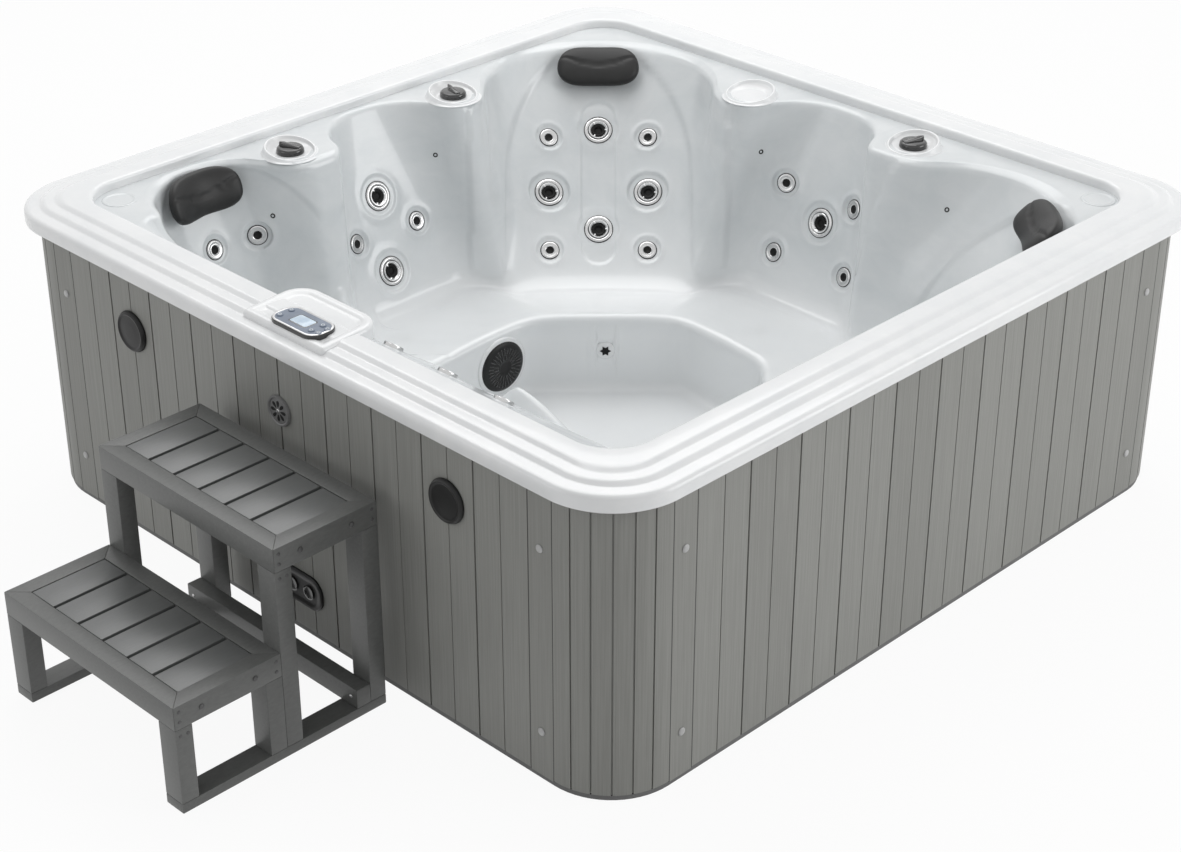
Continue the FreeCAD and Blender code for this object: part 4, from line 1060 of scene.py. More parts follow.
def panel_pad_ring(inset, z):
    """Outline of the pad, which sinks into the tiers of the rim towards the front."""
    left, right, front, rear = PANEL_PAD_SIDES
    left, right, front, rear = left + inset, right - inset, front + inset, rear - inset
    outer, inner = max(0.010 - inset, 0.002), max(0.062 - inset, 0.01)
    corners = [(left, front, outer), (right, front, outer), (right, rear, inner), (left, rear, inner)]
    drop = PAD_DROP if z > PAD_DROP_ABOVE else 0.0
    return [(x, y, z - drop * float(smooth_step(*PAD_DROP_RUN, -y))) for x, y, z in outline_ring(corners, z)]


# Inset and height of each ring of the pad, from its foot over the raised edge to the flat middle
PAD_LEVELS = [(0.0, 0.775), (0.0, 0.803), (0.0012, 0.8075), (0.004, 0.8112), (0.009, 0.8132), (0.017, 0.8134),
              (0.022, 0.8122), (0.027, 0.8096), (0.032, 0.8079), (0.040, 0.8074)]
points, faces = stacked([panel_pad_ring(*level) for level in PAD_LEVELS], close_high=True)
panel_pad = new_piece("panel_pad", points, faces, acrylic_rim, 50)
attach(panel_pad, "tub", "acrylic")
print("panel pad faces", len(faces))

# %% [markdown]
# ## Fittings that repeat
# Jet rings, nozzles and screws repeat many times, so Geometry Nodes place them. The first tree takes a mesh
# of loose points, each with an attribute that says which way it faces, and puts a copy of one pattern on
# each. The second tree sets copies round a ring, and the third in a straight row. All of them end by making
# the copies real and giving them their finish. Copying in Python would do as well, but a tree can be changed
# later by its named inputs.

# %% Trees for repeated fittings
SHARED_INPUTS = [("Places", "NodeSocketGeometry"), ("Pattern", "NodeSocketObject"),
                 ("Finish", "NodeSocketMaterial")]


def start_tree(name, *sizes):
    tree = bpy.data.node_groups.new(name, "GeometryNodeTree")
    for label, kind in (*SHARED_INPUTS, *sizes):
        tree.interface.new_socket(label, in_out="INPUT", socket_type=kind)
    tree.interface.new_socket("Geometry", in_out="OUTPUT", socket_type="NodeSocketGeometry")
    return tree, add_node(tree, "NodeGroupInput")


def end_tree(tree, given, copies):
    real = add_node(tree, "GeometryNodeRealizeInstances")
    tree.links.new(copies, real.inputs["Geometry"])
    dressed = add_node(tree, "GeometryNodeSetMaterial")
    tree.links.new(real.outputs["Geometry"], dressed.inputs["Geometry"])
    tree.links.new(given.outputs["Finish"], dressed.inputs["Material"])
    end = add_node(tree, "NodeGroupOutput")
    tree.links.new(dressed.outputs["Geometry"], end.inputs["Geometry"])
    return tree


def copies_on(tree, given, points, rotation=None):
    """A copy of the pattern on each point."""
    shape = add_node(tree, "GeometryNodeObjectInfo")
    tree.links.new(given.outputs["Pattern"], shape.inputs["Object"])
    copies = add_node(tree, "GeometryNodeInstanceOnPoints")
    tree.links.new(points, copies.inputs["Points"])
    tree.links.new(shape.outputs["Geometry"], copies.inputs["Instance"])
    if rotation:
        tree.links.new(rotation, copies.inputs["Rotation"])
    return copies.outputs["Instances"]


def facing_tree():
    tree, given = start_tree("pieces_on_points")
    ahead = add_node(tree, "GeometryNodeInputNamedAttribute", data_type="FLOAT_VECTOR", Name="facing")
    aim = add_node(tree, "FunctionNodeAlignRotationToVector", axis="Z")
    tree.links.new(ahead.outputs["Attribute"], aim.inputs["Vector"])
    return end_tree(tree, given, copies_on(tree, given, given.outputs["Places"], aim.outputs["Rotation"]))


def ring_tree():
    tree, given = start_tree("pieces_round_a_ring", ("Count", "NodeSocketInt"), ("Radius", "NodeSocketFloat"))
    line = add_node(tree, "GeometryNodeMeshLine", Offset=(0, 0, 0))
    tree.links.new(given.outputs["Count"], line.inputs["Count"])
    index = add_node(tree, "GeometryNodeInputIndex")
    share = plain_sum(tree, "DIVIDE", index.outputs[0], given.outputs["Count"])
    spin = add_node(tree, "ShaderNodeCombineXYZ")
    tree.links.new(plain_sum(tree, "MULTIPLY", share, 2 * math.pi), spin.inputs["Z"])
    copies = copies_on(tree, given, line.outputs["Mesh"], spin.outputs["Vector"])
    out = add_node(tree, "ShaderNodeCombineXYZ")
    tree.links.new(given.outputs["Radius"], out.inputs["X"])
    apart = add_node(tree, "GeometryNodeTranslateInstances")
    tree.links.new(copies, apart.inputs["Instances"])
    tree.links.new(out.outputs["Vector"], apart.inputs["Translation"])
    return end_tree(tree, given, apart.outputs["Instances"])


def row_tree():
    tree, given = start_tree("pieces_in_a_row", ("Count", "NodeSocketInt"), ("Pitch", "NodeSocketVector"))
    line = add_node(tree, "GeometryNodeMeshLine")
    tree.links.new(given.outputs["Count"], line.inputs["Count"])
    tree.links.new(given.outputs["Pitch"], line.inputs["Offset"])
    return end_tree(tree, given, copies_on(tree, given, line.outputs["Mesh"]))


on_points, round_ring, in_row = facing_tree(), ring_tree(), row_tree()
print("trees", [tree.name for tree in (on_points, round_ring, in_row)])

# %% [markdown]
# A tree works as a modifier on an object that only holds the places. Its inputs are set by the identifier of
# each socket, the result is turned into a plain mesh, and the holder and the pattern are deleted.


# %% Pieces grown by a tree
def grown(name, tree, pattern, finish, spots=(), matrix=None, **values):
    """Plain mesh that a tree makes from one pattern, given as its points and faces."""
    shape = new_piece(name + "_pattern", *pattern, finish)
    places = bpy.data.meshes.new(name + "_places")
    places.from_pydata([tuple(spot.translation) for spot in spots] or [(0, 0, 0)], [], [])
    ahead = places.attributes.new("facing", "FLOAT_VECTOR", "POINT")
    for item, spot in zip(ahead.data, spots):
        item.vector = spot.col[2][:3]
    holder = bpy.data.objects.new(name + "_places", places)
    scene.collection.objects.link(holder)
    modifier = holder.modifiers.new("tree", "NODES")
    modifier.node_group = tree
    values.update(Pattern=shape, Finish=finish)
    for item in tree.interface.items_tree:
        if item.in_out == "INPUT" and item.name in values:
            modifier[item.identifier] = values[item.name]
    made = holder.evaluated_get(bpy.context.evaluated_depsgraph_get())
    mesh = bpy.data.meshes.new_from_object(made)
    mesh.name = name
    piece = bpy.data.objects.new(name, mesh)
    scene.collection.objects.link(piece)
    for used in (holder, shape):
        bpy.data.objects.remove(used)
    if matrix is not None:
        mesh.transform(matrix)
    return piece


# %% [markdown]
# ## Jets
# A massage jet has a plated ring that is screwed to the shell, and inside it a face that turns to set the
# flow. The ring is fixed and repeats, so the tree places it. It also places the black seal that shows as a
# thin line round each ring, and the taller rings of the three jets on the lounge's wall. Each large face is a
# piece of its own, because it turns on its own joint: a bright ring with three finger ribs round a black
# nozzle with a funnel.


# %% Jet rings and small jets
def closed_lathe(loop, steps=48):
    """Ring turned from a closed profile that runs outwards along the bottom and back over the top."""
    points, faces = lathe(loop + loop[:1], steps)
    body = len(loop) * steps
    return points[:body], [tuple(corner % body for corner in face) for face in faces]


LARGE_RING = [(0.0292, -0.0050), (0.0400, -0.0040), (0.0410, -0.0016), (0.0402, 0.0006), (0.0375, 0.0022),
              (0.0345, 0.0027), (0.0315, 0.0018), (0.0296, -0.0006)]
SMALL_RING = [(0.0114, -0.0045), (0.0256, -0.0038), (0.0265, -0.0016), (0.0258, 0.0004), (0.0238, 0.0018),
              (0.0208, 0.0020), (0.0172, 0.0004), (0.0140, 0.0010), (0.0118, -0.0004)]
TALL_RING = [(0.0165, -0.0045), (0.0262, -0.0045), (0.0265, 0.0075), (0.0250, 0.0100), (0.0205, 0.0104),
             (0.0170, 0.0080)]
SMALL_CORE = [(0.0, -0.0060), (0.0118, -0.0060), (0.0117, -0.0012), (0.0090, -0.0006), (0.0060, -0.0028),
              (0.0, -0.0034)]
large_rings = grown("large_jet_rings", on_points, closed_lathe(LARGE_RING), chrome, large_spots)
attach(large_rings, "tub", "jet_ring", "large_jet_bodies")
small_rings = grown("small_jet_rings", on_points, closed_lathe(SMALL_RING, 40), chrome, small_spots)
attach(small_rings, "tub", "jet_ring", "small_jets")
tall_rings = grown("lounge_jet_rings", on_points, closed_lathe(TALL_RING, 40), chrome, lounge_spots)
attach(tall_rings, "tub", "jet_ring")
for name, radius, spots in (("large", 0.0408, large_spots), ("small", 0.0264, small_spots)):
    inner, outer = radius - 0.003, radius + 0.0016
    seal = [(inner, -0.0040), (outer, -0.0038), (outer, -0.0008), (inner, -0.0006)]
    seals = grown(f"{name}_jet_seals", on_points, closed_lathe(seal, 40), core_black, spots)
    attach(seals, "tub", "fitting_black")
small_cores = grown("small_jet_cores", on_points, lathe(SMALL_CORE, 32), core_black, small_spots)
attach(small_cores, "tub", "jet_face")
print("rings", len(large_spots), "large", len(small_spots), "small")

# %% [markdown]
# The air nozzles are so flat that they would sink into the raised bands. A ray that is sent back at the
# finished basin finds where its surface is, and the nozzle is moved there.

# %% Air nozzles
NOZZLE = [(0.0, -0.0015), (0.0070, -0.0012), (0.0069, 0.0005), (0.0056, 0.0014), (0.0040, 0.0010),
          (0.0030, -0.0006), (0.0, -0.0008)]
RAY_LENGTH = 0.2
basin_surface = BVHTree.FromPolygons([vertex.co for vertex in basin.data.vertices],
                                     [face.vertices for face in basin.data.polygons])


def on_basin(spot):
    """The same place and facing, moved along its normal on to the finished surface."""
    ahead = spot.col[2].to_3d()
    result = spot.copy()
    start = spot.translation + ahead * RAY_LENGTH / 2
    result.translation = basin_surface.ray_cast(start, -ahead, RAY_LENGTH)[0]
    return result


nozzle_spots = [on_basin(seat_spot(*mark)) for mark in AIR_NOZZLES]
nozzles = grown("air_nozzle_rings", on_points, lathe(NOZZLE, 20), black_plastic, nozzle_spots)
attach(nozzles, "tub", "fitting_black", "air_nozzles")
print("nozzles", len(nozzle_spots))

# %% [markdown]
# The turning faces are built from a few shapes that have different finishes, so a helper joins meshes into
# one piece and keeps the finish of each.


# %% Turning faces of the large jets
def joined(name, parts, matrix=None):
    """One piece from several meshes, each with its own finish."""
    points, faces, finishes, marks = [], [], [], []
    for shape, finish in parts:
        first = len(points)
        points += list(shape[0])
        faces += [tuple(first + corner for corner in face) for face in shape[1]]
        if finish not in finishes:
            finishes.append(finish)
        marks += [finishes.index(finish)] * len(shape[1])
    piece = new_piece(name, moved(points, matrix) if matrix else points, faces, finishes[0])
    for finish in finishes[1:]:
        piece.data.materials.append(finish)
    piece.data.polygons.foreach_set("material_index", marks)
    return piece


def turned_copy(shape, turn, shift=(0, 0, 0)):
    matrix = Matrix.Rotation(turn, 4, "Z") @ Matrix.Translation(shift)
    return moved(shape[0], matrix), shape[1]


def soft_block(half_x, half_y, low, high, bend):
    """Small block with rounded upright corners and a softened top."""
    levels = [(0.0, low), (0.0, high - bend), (bend * 0.4, high - bend * 0.3), (bend, high)]
    rings = [oblong_ring(half_x - inset, half_y - inset, max(bend - inset * 0.5, bend * 0.3), 0, 0, z, 4)
             for inset, z in levels]
    return stacked(rings, close_low=True, close_high=True)


FACE_RING = [(0.0195, -0.0080), (0.0284, -0.0080), (0.0285, 0.0024), (0.0272, 0.0034), (0.0252, 0.0033),
             (0.0226, 0.0012), (0.0204, -0.0014), (0.0196, -0.0040)]
FACE_CORE = [(0.0, -0.0085), (0.0198, -0.0085), (0.0197, -0.0022), (0.0182, -0.0004), (0.0160, -0.0002),
             (0.0120, -0.0022), (0.0092, -0.0060), (0.0088, -0.0078), (0.0, -0.0080)]
rib = soft_block(0.0042, 0.0021, -0.004, 0.0034, 0.0008)
for number, spot in enumerate(large_spots, start=1):
    parts = [(closed_lathe(FACE_RING), bright_ring), (lathe(FACE_CORE, 40), core_black)]
    parts += [(turned_copy(rib, 2 * math.pi * third / 3, (0.0228, 0, 0)), bright_ring) for third in range(3)]
    jet_face = joined(f"jet_face_{number}_dressed", parts, spot)
    attach(jet_face, f"jet_face_{number}", "jet_face", f"large_jet_face_{number}")
print("turning faces", len(large_spots))

# %% [markdown]
# ## Footwell fittings
# The footwell has a jet with a star-shaped nozzle, which is left open so that the water spreads, and a
# suction cover: a low dome with rings of slots that keeps hair and fingers out. Both sit on a pale disc. The
# slots are dark bars that the ring tree sets round the dome.


# %% Footwell fittings
def star(points_out, outer, inner, low, high):
    ring = []
    for step in range(points_out * 2):
        radius = outer if step % 2 == 0 else inner
        turn = math.pi * step / points_out
        ring.append((radius * math.cos(turn), radius * math.sin(turn)))
    levels = (1.0, low), (0.94, high)
    return stacked([[(x * grow, y * grow, z) for x, y in ring] for grow, z in levels], True, True)


DISC = rounded([(0.0, -0.011), (0.0262, -0.011), (0.0265, -0.0006), (0.0235, 0.0018), (0.0, 0.0022)],
               0.002, 4)
disc = turned_piece("footwell_disc", DISC, footwell_spot, acrylic_rim, 40)
attach(disc, "tub", "acrylic")
star_core = joined("footwell_star", [(star(6, 0.0165, 0.0100, -0.004, 0.0034), core_black)], footwell_spot)
attach(star_core, "tub", "jet_face")
COVER = rounded([(0.0, 0.0), (0.0735, 0.0), (0.0735, 0.006), (0.066, 0.0115), (0.055, 0.0148),
                 (0.022, 0.0152), (0.014, 0.0120), (0.0, 0.0118)], 0.003, 4)
FLANGE = rounded([(0.0, -0.002), (0.086, -0.002), (0.083, 0.0042), (0.077, 0.0050), (0.0, 0.0040)], 0.003, 4)
flange = turned_piece("suction_flange", FLANGE, suction_spot, acrylic_rim, 64)
attach(flange, "tub", "acrylic")
cover = turned_piece("suction_dome", COVER, suction_spot, black_plastic, 64)
attach(cover, "tub", "fitting_black", "suction_cover")
slot_bar = soft_block(0.0085, 0.0017, 0.0, 0.0159, 0.0006)
for name, count, radius in (("outer", 32, 0.0490), ("inner", 18, 0.0310)):
    slots = grown(f"suction_slots_{name}", round_ring, slot_bar, gloss_black, matrix=suction_spot,
                  Count=count, Radius=radius)
    attach(slots, "tub", "fitting_black")
print("suction cover dressed")

# %% [markdown]
# ## Diverter knobs
# Three knobs on the deck steer the water from one group of jets to another. Each is a glossy black cap with
# a raised wedge that a wet hand can grip and that points at the chosen seats. The wedge is a loft of four
# outlines, wide at the back and narrow in front.


# %% Diverter knobs
KNOB = rounded([(0.0, 0.0005), (0.0372, 0.0005), (0.0380, 0.004), (0.0362, 0.0135), (0.0320, 0.0172),
                (0.0, 0.0182)], 0.004, 5)
KNOB_PADS = PADS[:3]


def wedge(low, high):
    """Grip of a knob, highest and narrowest at its pointing end."""
    outline = [(-0.031, -0.0078), (0.020, -0.0062), (0.032, -0.0012), (0.032, 0.0012), (0.020, 0.0062),
               (-0.031, 0.0078)]
    rings = []
    for share, grow in ((0.0, 1.0), (0.6, 0.95), (0.9, 0.8), (1.0, 0.55)):
        ring = []
        for x, y in outline:
            lift = 1.0 if x > 0 else 0.55
            ring.append((x * (0.85 + 0.15 * grow), y * grow, low + (high - low) * share * lift))
        rings.append(ring)
    return stacked(rings, True, True)


knob_parts = [(lathe(KNOB), gloss_black), (wedge(0.015, 0.0268), gloss_black)]
for number, (x, y) in enumerate(KNOB_PADS, start=1):
    matrix = Matrix.Translation((x, y, DECK)) @ Matrix.Rotation(math.atan2(y, x), 4, "Z")
    knob = joined(f"knob_{number}_dressed", knob_parts, matrix)
    attach(knob, f"knob_{number}", "knob", f"diverter_knob_{number}")
print("knobs", len(KNOB_PADS))

# %% [markdown]
# ## Control panel
# The panel on the front rim is a racetrack form: a dark body, a plated rim, a blue-grey face, a pale display
# and six push buttons. Its outline is the same ring drawn smaller and higher each time. The buttons move, so
# each is a piece of its own, with a plain raised mark and no lettering.


# %% Control panel
PANEL = (0.034, -1.014)
# Half length, half width, corner radius and least corner radius of the panel, its display and the dark frame
PANEL_OUTLINE = 0.083, 0.043, 0.034, 0.006
GLASS_OUTLINE = 0.028, 0.018, 0.005, 0.002
FRAME_OUTLINE = 0.031, 0.021, 0.007, 0.003


def oblong_levels(outline, levels, place, steps):
    """The same rounded outline at several insets and heights."""
    half_x, half_y, bend, least = outline
    return [oblong_ring(half_x - inset, half_y - inset, max(bend - inset, least), *place, z, steps)
            for inset, z in levels]


def panel_levels(levels):
    return oblong_levels(PANEL_OUTLINE, levels, PANEL, 12)


body = stacked(panel_levels([(0.0, 0.8030), (0.0, 0.8135), (0.002, 0.8158)]), close_low=True)
rim_ring = stacked(panel_levels([(0.002, 0.8158), (0.0035, 0.8170), (0.0060, 0.8172), (0.0080, 0.8160)]))
face_plate = stacked(panel_levels([(0.0080, 0.8160), (0.0100, 0.8156), (0.0140, 0.8158)]), close_high=True)
panel_parts = [(body, gloss_black), (rim_ring, silver_rim), (face_plate, panel_face)]
attach(joined("control_panel_dressed", panel_parts), "tub", "panel", "control_panel")
glass = oblong_levels(GLASS_OUTLINE, [(0.0, 0.8150), (0.0, 0.8164), (0.001, 0.8169)], PANEL, 6)
dark_frame = oblong_levels(FRAME_OUTLINE, [(0.0, 0.8150), (0.0, 0.8160), (0.002, 0.8164)], PANEL, 6)
display_parts = [(stacked(dark_frame, True, True), gloss_black), (stacked(glass, True, True), display_glass)]
attach(joined("display_dressed", display_parts), "tub", "display", "panel_display")
BUTTONS = [(-0.062, 0.017), (-0.062, -0.017), (0.050, 0.017), (0.050, -0.017), (0.072, 0.012),
           (0.072, -0.014)]
CAP = rounded([(0.0, 0.8125), (0.0078, 0.8125), (0.0078, 0.8180), (0.0, 0.8186)], 0.0012, 4)
MARK = [(0.0030, 0.8180), (0.0042, 0.8180), (0.0042, 0.8189), (0.0036, 0.8190), (0.0030, 0.8189)]
button_parts = [(lathe(CAP, 28), panel_face), (closed_lathe(MARK, 24), icon_pale)]
for number, (along, beside) in enumerate(BUTTONS, start=1):
    matrix = Matrix.Translation((PANEL[0] + along, PANEL[1] + beside, 0))
    button = joined(f"button_{number}_dressed", button_parts, matrix)
    attach(button, f"button_{number}", "button", f"panel_button_{number}")
print("buttons", len(BUTTONS))

# %% [markdown]
# ## Head pillows
# The pillows are moulded soft foam with a skin, kidney-shaped and crowned in front, and their backs follow
# the hollow of the seat. A crease dips from one upper corner to the middle and up again. A cloth simulation
# suits sewn covers, but this foam keeps its moulded form, so the form is drawn: sections across the width,
# each a soft loop, with the crease pressed in from the front.

# %% Head pillows
pillow_foam = mottled("pillow_foam", grey(0.009), grey(0.015), 14, 420, 0.0005, (0.38, 0.5),
                      Specular_IOR_Level=0.35)
# Place of each pillow on its seat: distance sideways and height
PILLOWS = {"far": (0.0, 0.714), "left": (-0.012, 0.712), "right": (0.0, 0.716)}
PILLOW_HALF, PILLOW_TALL, PILLOW_THICK = 0.1205, 0.132, 0.0515
# Depth and width of the crease, and how far the foam above it lies back
CREASE_DEEP, CREASE_WIDE, CREASE_STEP = 0.0048, 0.0045, 0.0026


def pillow_mesh(seat, z, across=64, around=72):
    half, tall, thick = PILLOW_HALF, PILLOW_TALL, PILLOW_THICK
    bend = seat_section(seat, z - tall)[2]
    rings = []
    for index in range(across + 1):
        share = -math.cos(math.pi * index / across)
        x = half * share
        full = math.sqrt(max(0.0012, 1 - abs(share) ** 3.6))
        high = tall / 2 * full - 0.004 * share * share
        low = -(tall / 2 + 0.009) * full + 0.022 * (1 - share * share)
        deep = thick * max(full, 0.05)
        back = bend - math.sqrt(bend * bend - x * x) + 0.0006
        ring = []
        for step in range(around):
            turn = 2 * math.pi * step / around
            cos, sin = math.cos(turn), math.sin(turn)
            y = (low + high) / 2 + (high - low) / 2 * math.copysign(abs(cos) ** 0.75, cos)
            front = 0.5 + 0.5 * math.copysign(abs(sin) ** 0.7, sin)
            w = back + deep * front
            if sin > 0:
                crease = high - (high - low) * (0.56 - 0.45 * share * share)
                fade = min(1, sin * 1.6) * (1 - share ** 4)
                w -= CREASE_DEEP * math.exp(-((y - crease) / CREASE_WIDE) ** 2) * fade
                w -= CREASE_STEP * smooth_step(crease, high, y) * fade
            ring.append((x, y, w))
        rings.append(ring)
    return stacked(rings, close_low=True, close_high=True)


for seat, (sideways, z) in PILLOWS.items():
    points, faces = pillow_mesh(seat, z)
    points = moved(points, seat_spot(seat, sideways, z))
    pillow = new_piece(f"pillow_{seat}_foam", points, faces, pillow_foam, 70)
    work = bmesh.new()
    work.from_mesh(pillow.data)
    bmesh.ops.recalc_face_normals(work, faces=work.faces)
    work.to_mesh(pillow.data)
    work.free()
    attach(pillow, "tub", "pillow", f"pillow_{seat}")
print("pillows", len(PILLOWS))

# %% [markdown]
# ## Front fittings
# On the boarded front sit two round speakers, a vent in between and an oval plate near the floor. The
# speakers and the vent are turned profiles; the vent's petal-shaped holes are set by the ring tree, as dark
# inlays a hair above the disc.


# %% Speakers and vent
CABINET_FRONT = -1.070
SPEAKER_HEIGHT, SPEAKER_X = 0.595, 0.572


def front_spot(x, z):
    return facing((x, CABINET_FRONT, z), (0, -1, 0))


SPEAKER = rounded([(0.0, 0.0004), (0.0538, 0.0004), (0.0540, 0.0050), (0.0510, 0.0105), (0.0470, 0.0132),
                   (0.0440, 0.0112), (0.0410, 0.0098), (0.0200, 0.0112), (0.0, 0.0116)], 0.003, 4)
for name, x in (("speaker_left", -SPEAKER_X), ("speaker_right", SPEAKER_X)):
    speaker = turned_piece(name + "_dressed", SPEAKER, front_spot(x, SPEAKER_HEIGHT), black_plastic, 64)
    attach(speaker, "tub", "fitting_black", name)
VENT_RING = [(0.0305, 0.0006), (0.0388, 0.0006), (0.0390, 0.0055), (0.0372, 0.0086), (0.0345, 0.0088),
             (0.0315, 0.0066)]
VENT_DISC = rounded([(0.0, 0.0006), (0.0312, 0.0006), (0.0312, 0.0058), (0.0, 0.0066)], 0.002, 3)
VENT_HUB = rounded([(0.0, 0.005), (0.0055, 0.005), (0.0055, 0.0084), (0.0, 0.009)], 0.001, 3)
PETALS, PETAL_LONG, PETAL_WIDE, PETAL_TAPER = 8, 0.0088, 0.0040, 0.4
vent_spot = front_spot(0, SPEAKER_HEIGHT)
vent_parts = [(closed_lathe(VENT_RING), vent_grey), (lathe(VENT_DISC), vent_grey)]
attach(joined("vent_dressed", vent_parts, vent_spot), "tub", "vent", "cabinet_vent")
petal = []
for turn in np.linspace(0, 2 * math.pi, 17)[:-1]:
    wide = PETAL_WIDE * math.sin(turn) * (1 + PETAL_TAPER * math.cos(turn))
    petal.append((PETAL_LONG * math.cos(turn), wide))
petal_shape = stacked([[(x, y, z) for x, y in petal] for z in (0.004, 0.0070)], True, True)
petals = grown("vent_petals", round_ring, petal_shape, black_plastic, matrix=vent_spot,
               Count=PETALS, Radius=0.0175)
attach(petals, "tub", "vent")
attach(turned_piece("vent_hub", VENT_HUB, vent_spot, chrome, 24), "tub", "vent")
print("vent with", PETALS, "petals")

# %% [markdown]
# The oval plate has two round ports. Domed screws hold the strips beside each corner: the points tree puts
# two on each strip, and the four sides of the cabinet are the front's places turned by a quarter each time.

# %% Outlet plate and screws
OVAL_OUTLINE = 0.078, 0.046, 0.041, 0.012
OVAL_LEVELS = [(0.0, 0.0004), (0.0, 0.0052), (0.003, 0.0078), (0.012, 0.0078), (0.016, 0.0056),
               (0.020, 0.0052)]
PORT_OUTLINE = 0.019, 0.019, 0.0185, 0.0
PORT_LEVELS = [(0.0, 0.004), (0.0, 0.0076), (0.003, 0.0079), (0.0045, 0.0062), (0.012, 0.0058)]
plate_parts = [(stacked(oblong_levels(OVAL_OUTLINE, OVAL_LEVELS, (0, 0), 14), True, True), black_plastic)]
for x in (-0.030, 0.030):
    rings = oblong_levels(PORT_OUTLINE, PORT_LEVELS, (x, 0), 8)
    plate_parts.append((stacked(rings, True, True), gloss_black))
plate = joined("outlet_dressed", plate_parts, front_spot(0.038, 0.129))
attach(plate, "tub", "fitting_black", "outlet_plate")

strip_middle = (STRIP_NEAR + STRIP_FAR) / 2
SCREW_HEIGHTS = 0.130, 0.599
screw_spots = []
for quarter in range(4):
    spin = Matrix.Rotation(math.pi / 2 * quarter, 4, "Z")
    for x in (-strip_middle, strip_middle):
        screw_spots += [spin @ front_spot(x, z) for z in SCREW_HEIGHTS]
SCREW = rounded([(0.0, 0.0002), (0.0098, 0.0002), (0.0099, 0.0016), (0.0075, 0.0040), (0.0, 0.0050)],
                0.002, 4)
screws = grown("cabinet_screws", on_points, lathe(SCREW, 24), screw_grey, screw_spots)
attach(screws, "tub", "screw", "strip_screws")
print("screws", len(screw_spots))

# %% [markdown]
# ## Entry steps
# The steps stand in front of the tub and can be pulled away from it. They are made of square composite
# boards: two treads with a mitred frame and six slats, four legs a side, base rails and a cross rail. Every
# board has a small round along its edges, because that is where the light catches it. The slats are set by
# the row tree; the other boards differ from each other, so they are made one by one and joined.


# %% Boards of the steps
def board(corners, low, high, soft=0.0025):
    """Board from four plan corners, counterclockwise, with its edges rounded."""
    work = bmesh.new()
    lower = [work.verts.new((x, y, low)) for x, y in corners]
    upper = [work.verts.new((x, y, high)) for x, y in corners]
    work.faces.new(reversed(lower))
    work.faces.new(upper)
    for here in range(4):
        there = (here + 1) % 4
        work.faces.new((lower[here], lower[there], upper[there], upper[here]))
    bmesh.ops.bevel(work, geom=list(work.edges), offset=soft, segments=2, profile=0.6, affect="EDGES")
    work.verts.index_update()
    shape = [tuple(v.co) for v in work.verts], [tuple(v.index for v in face.verts) for face in work.faces]
    work.free()
    return shape


def block(x0, x1, y0, y1, low, high):
    return board([(x0, y0), (x1, y0), (x1, y1), (x0, y1)], low, high)


STEP_MIDDLE, STEP_HALF = 0.077, 0.318
STEP_LEFT, STEP_RIGHT = STEP_MIDDLE - STEP_HALF, STEP_MIDDLE + STEP_HALF
STEP_GAP = 0.053
STEP_REAR = CABINET_FRONT - STEP_GAP
TREAD = 0.288
STEP_FRONT = STEP_REAR - 2 * TREAD
BORDER, FRAME_HIGH, LEG, LEG_DEEP, RAIL = 0.044, 0.060, 0.060, 0.045, 0.025
LOW_TOP, HIGH_TOP = 0.278, 0.542
treads = [("low", STEP_FRONT, LOW_TOP), ("high", STEP_FRONT + TREAD, HIGH_TOP)]
SLATS, SLAT_GAP, SLAT_HIGH = 6, 0.008, 0.022
# Clearance of a slat at its sides, at its ends and under the frame's top
SLAT_SIDE, SLAT_END, SLAT_SUNK = 0.0005, 0.0015, 0.0012
slat_wide = (STEP_RIGHT - STEP_LEFT - 2 * BORDER - (SLATS - 1) * SLAT_GAP) / SLATS
for name, front, top in treads:
    rear = front + TREAD
    outer = [(STEP_LEFT, front), (STEP_RIGHT, front), (STEP_RIGHT, rear), (STEP_LEFT, rear)]
    inner = [(STEP_LEFT + BORDER, front + BORDER), (STEP_RIGHT - BORDER, front + BORDER),
             (STEP_RIGHT - BORDER, rear - BORDER), (STEP_LEFT + BORDER, rear - BORDER)]
    boards = []
    for here in range(4):
        there = (here + 1) % 4
        corners = [outer[here], outer[there], inner[there], inner[here]]
        boards.append((board(corners, top - FRAME_HIGH, top, 0.002), step_board))
    attach(joined(f"{name}_tread_boards", boards), "entry_steps", "step", f"{name}_tread_frame")
    start = STEP_LEFT + BORDER
    slat = block(start + SLAT_SIDE, start + slat_wide - SLAT_SIDE, front + BORDER + SLAT_END,
                 rear - BORDER - SLAT_END, top - SLAT_HIGH, top - SLAT_SUNK)
    pitch = (slat_wide + SLAT_GAP, 0, 0)
    slats = grown(f"{name}_tread_slats", in_row, slat, slat_board, Count=SLATS, Pitch=pitch)
    attach(slats, "entry_steps", "step", *(["tread_slats"] if name == "low" else []))
print("treads", len(treads), "with", SLATS, "slats each")

# %% [markdown]
# The legs stand on two rails that lie on the floor, and the cross rail ties the rear pair together. Bolt
# heads show on the sides of both treads, small pins where the boards of a frame and the legs are joined, and
# a bright screw at each end of the cross rail.

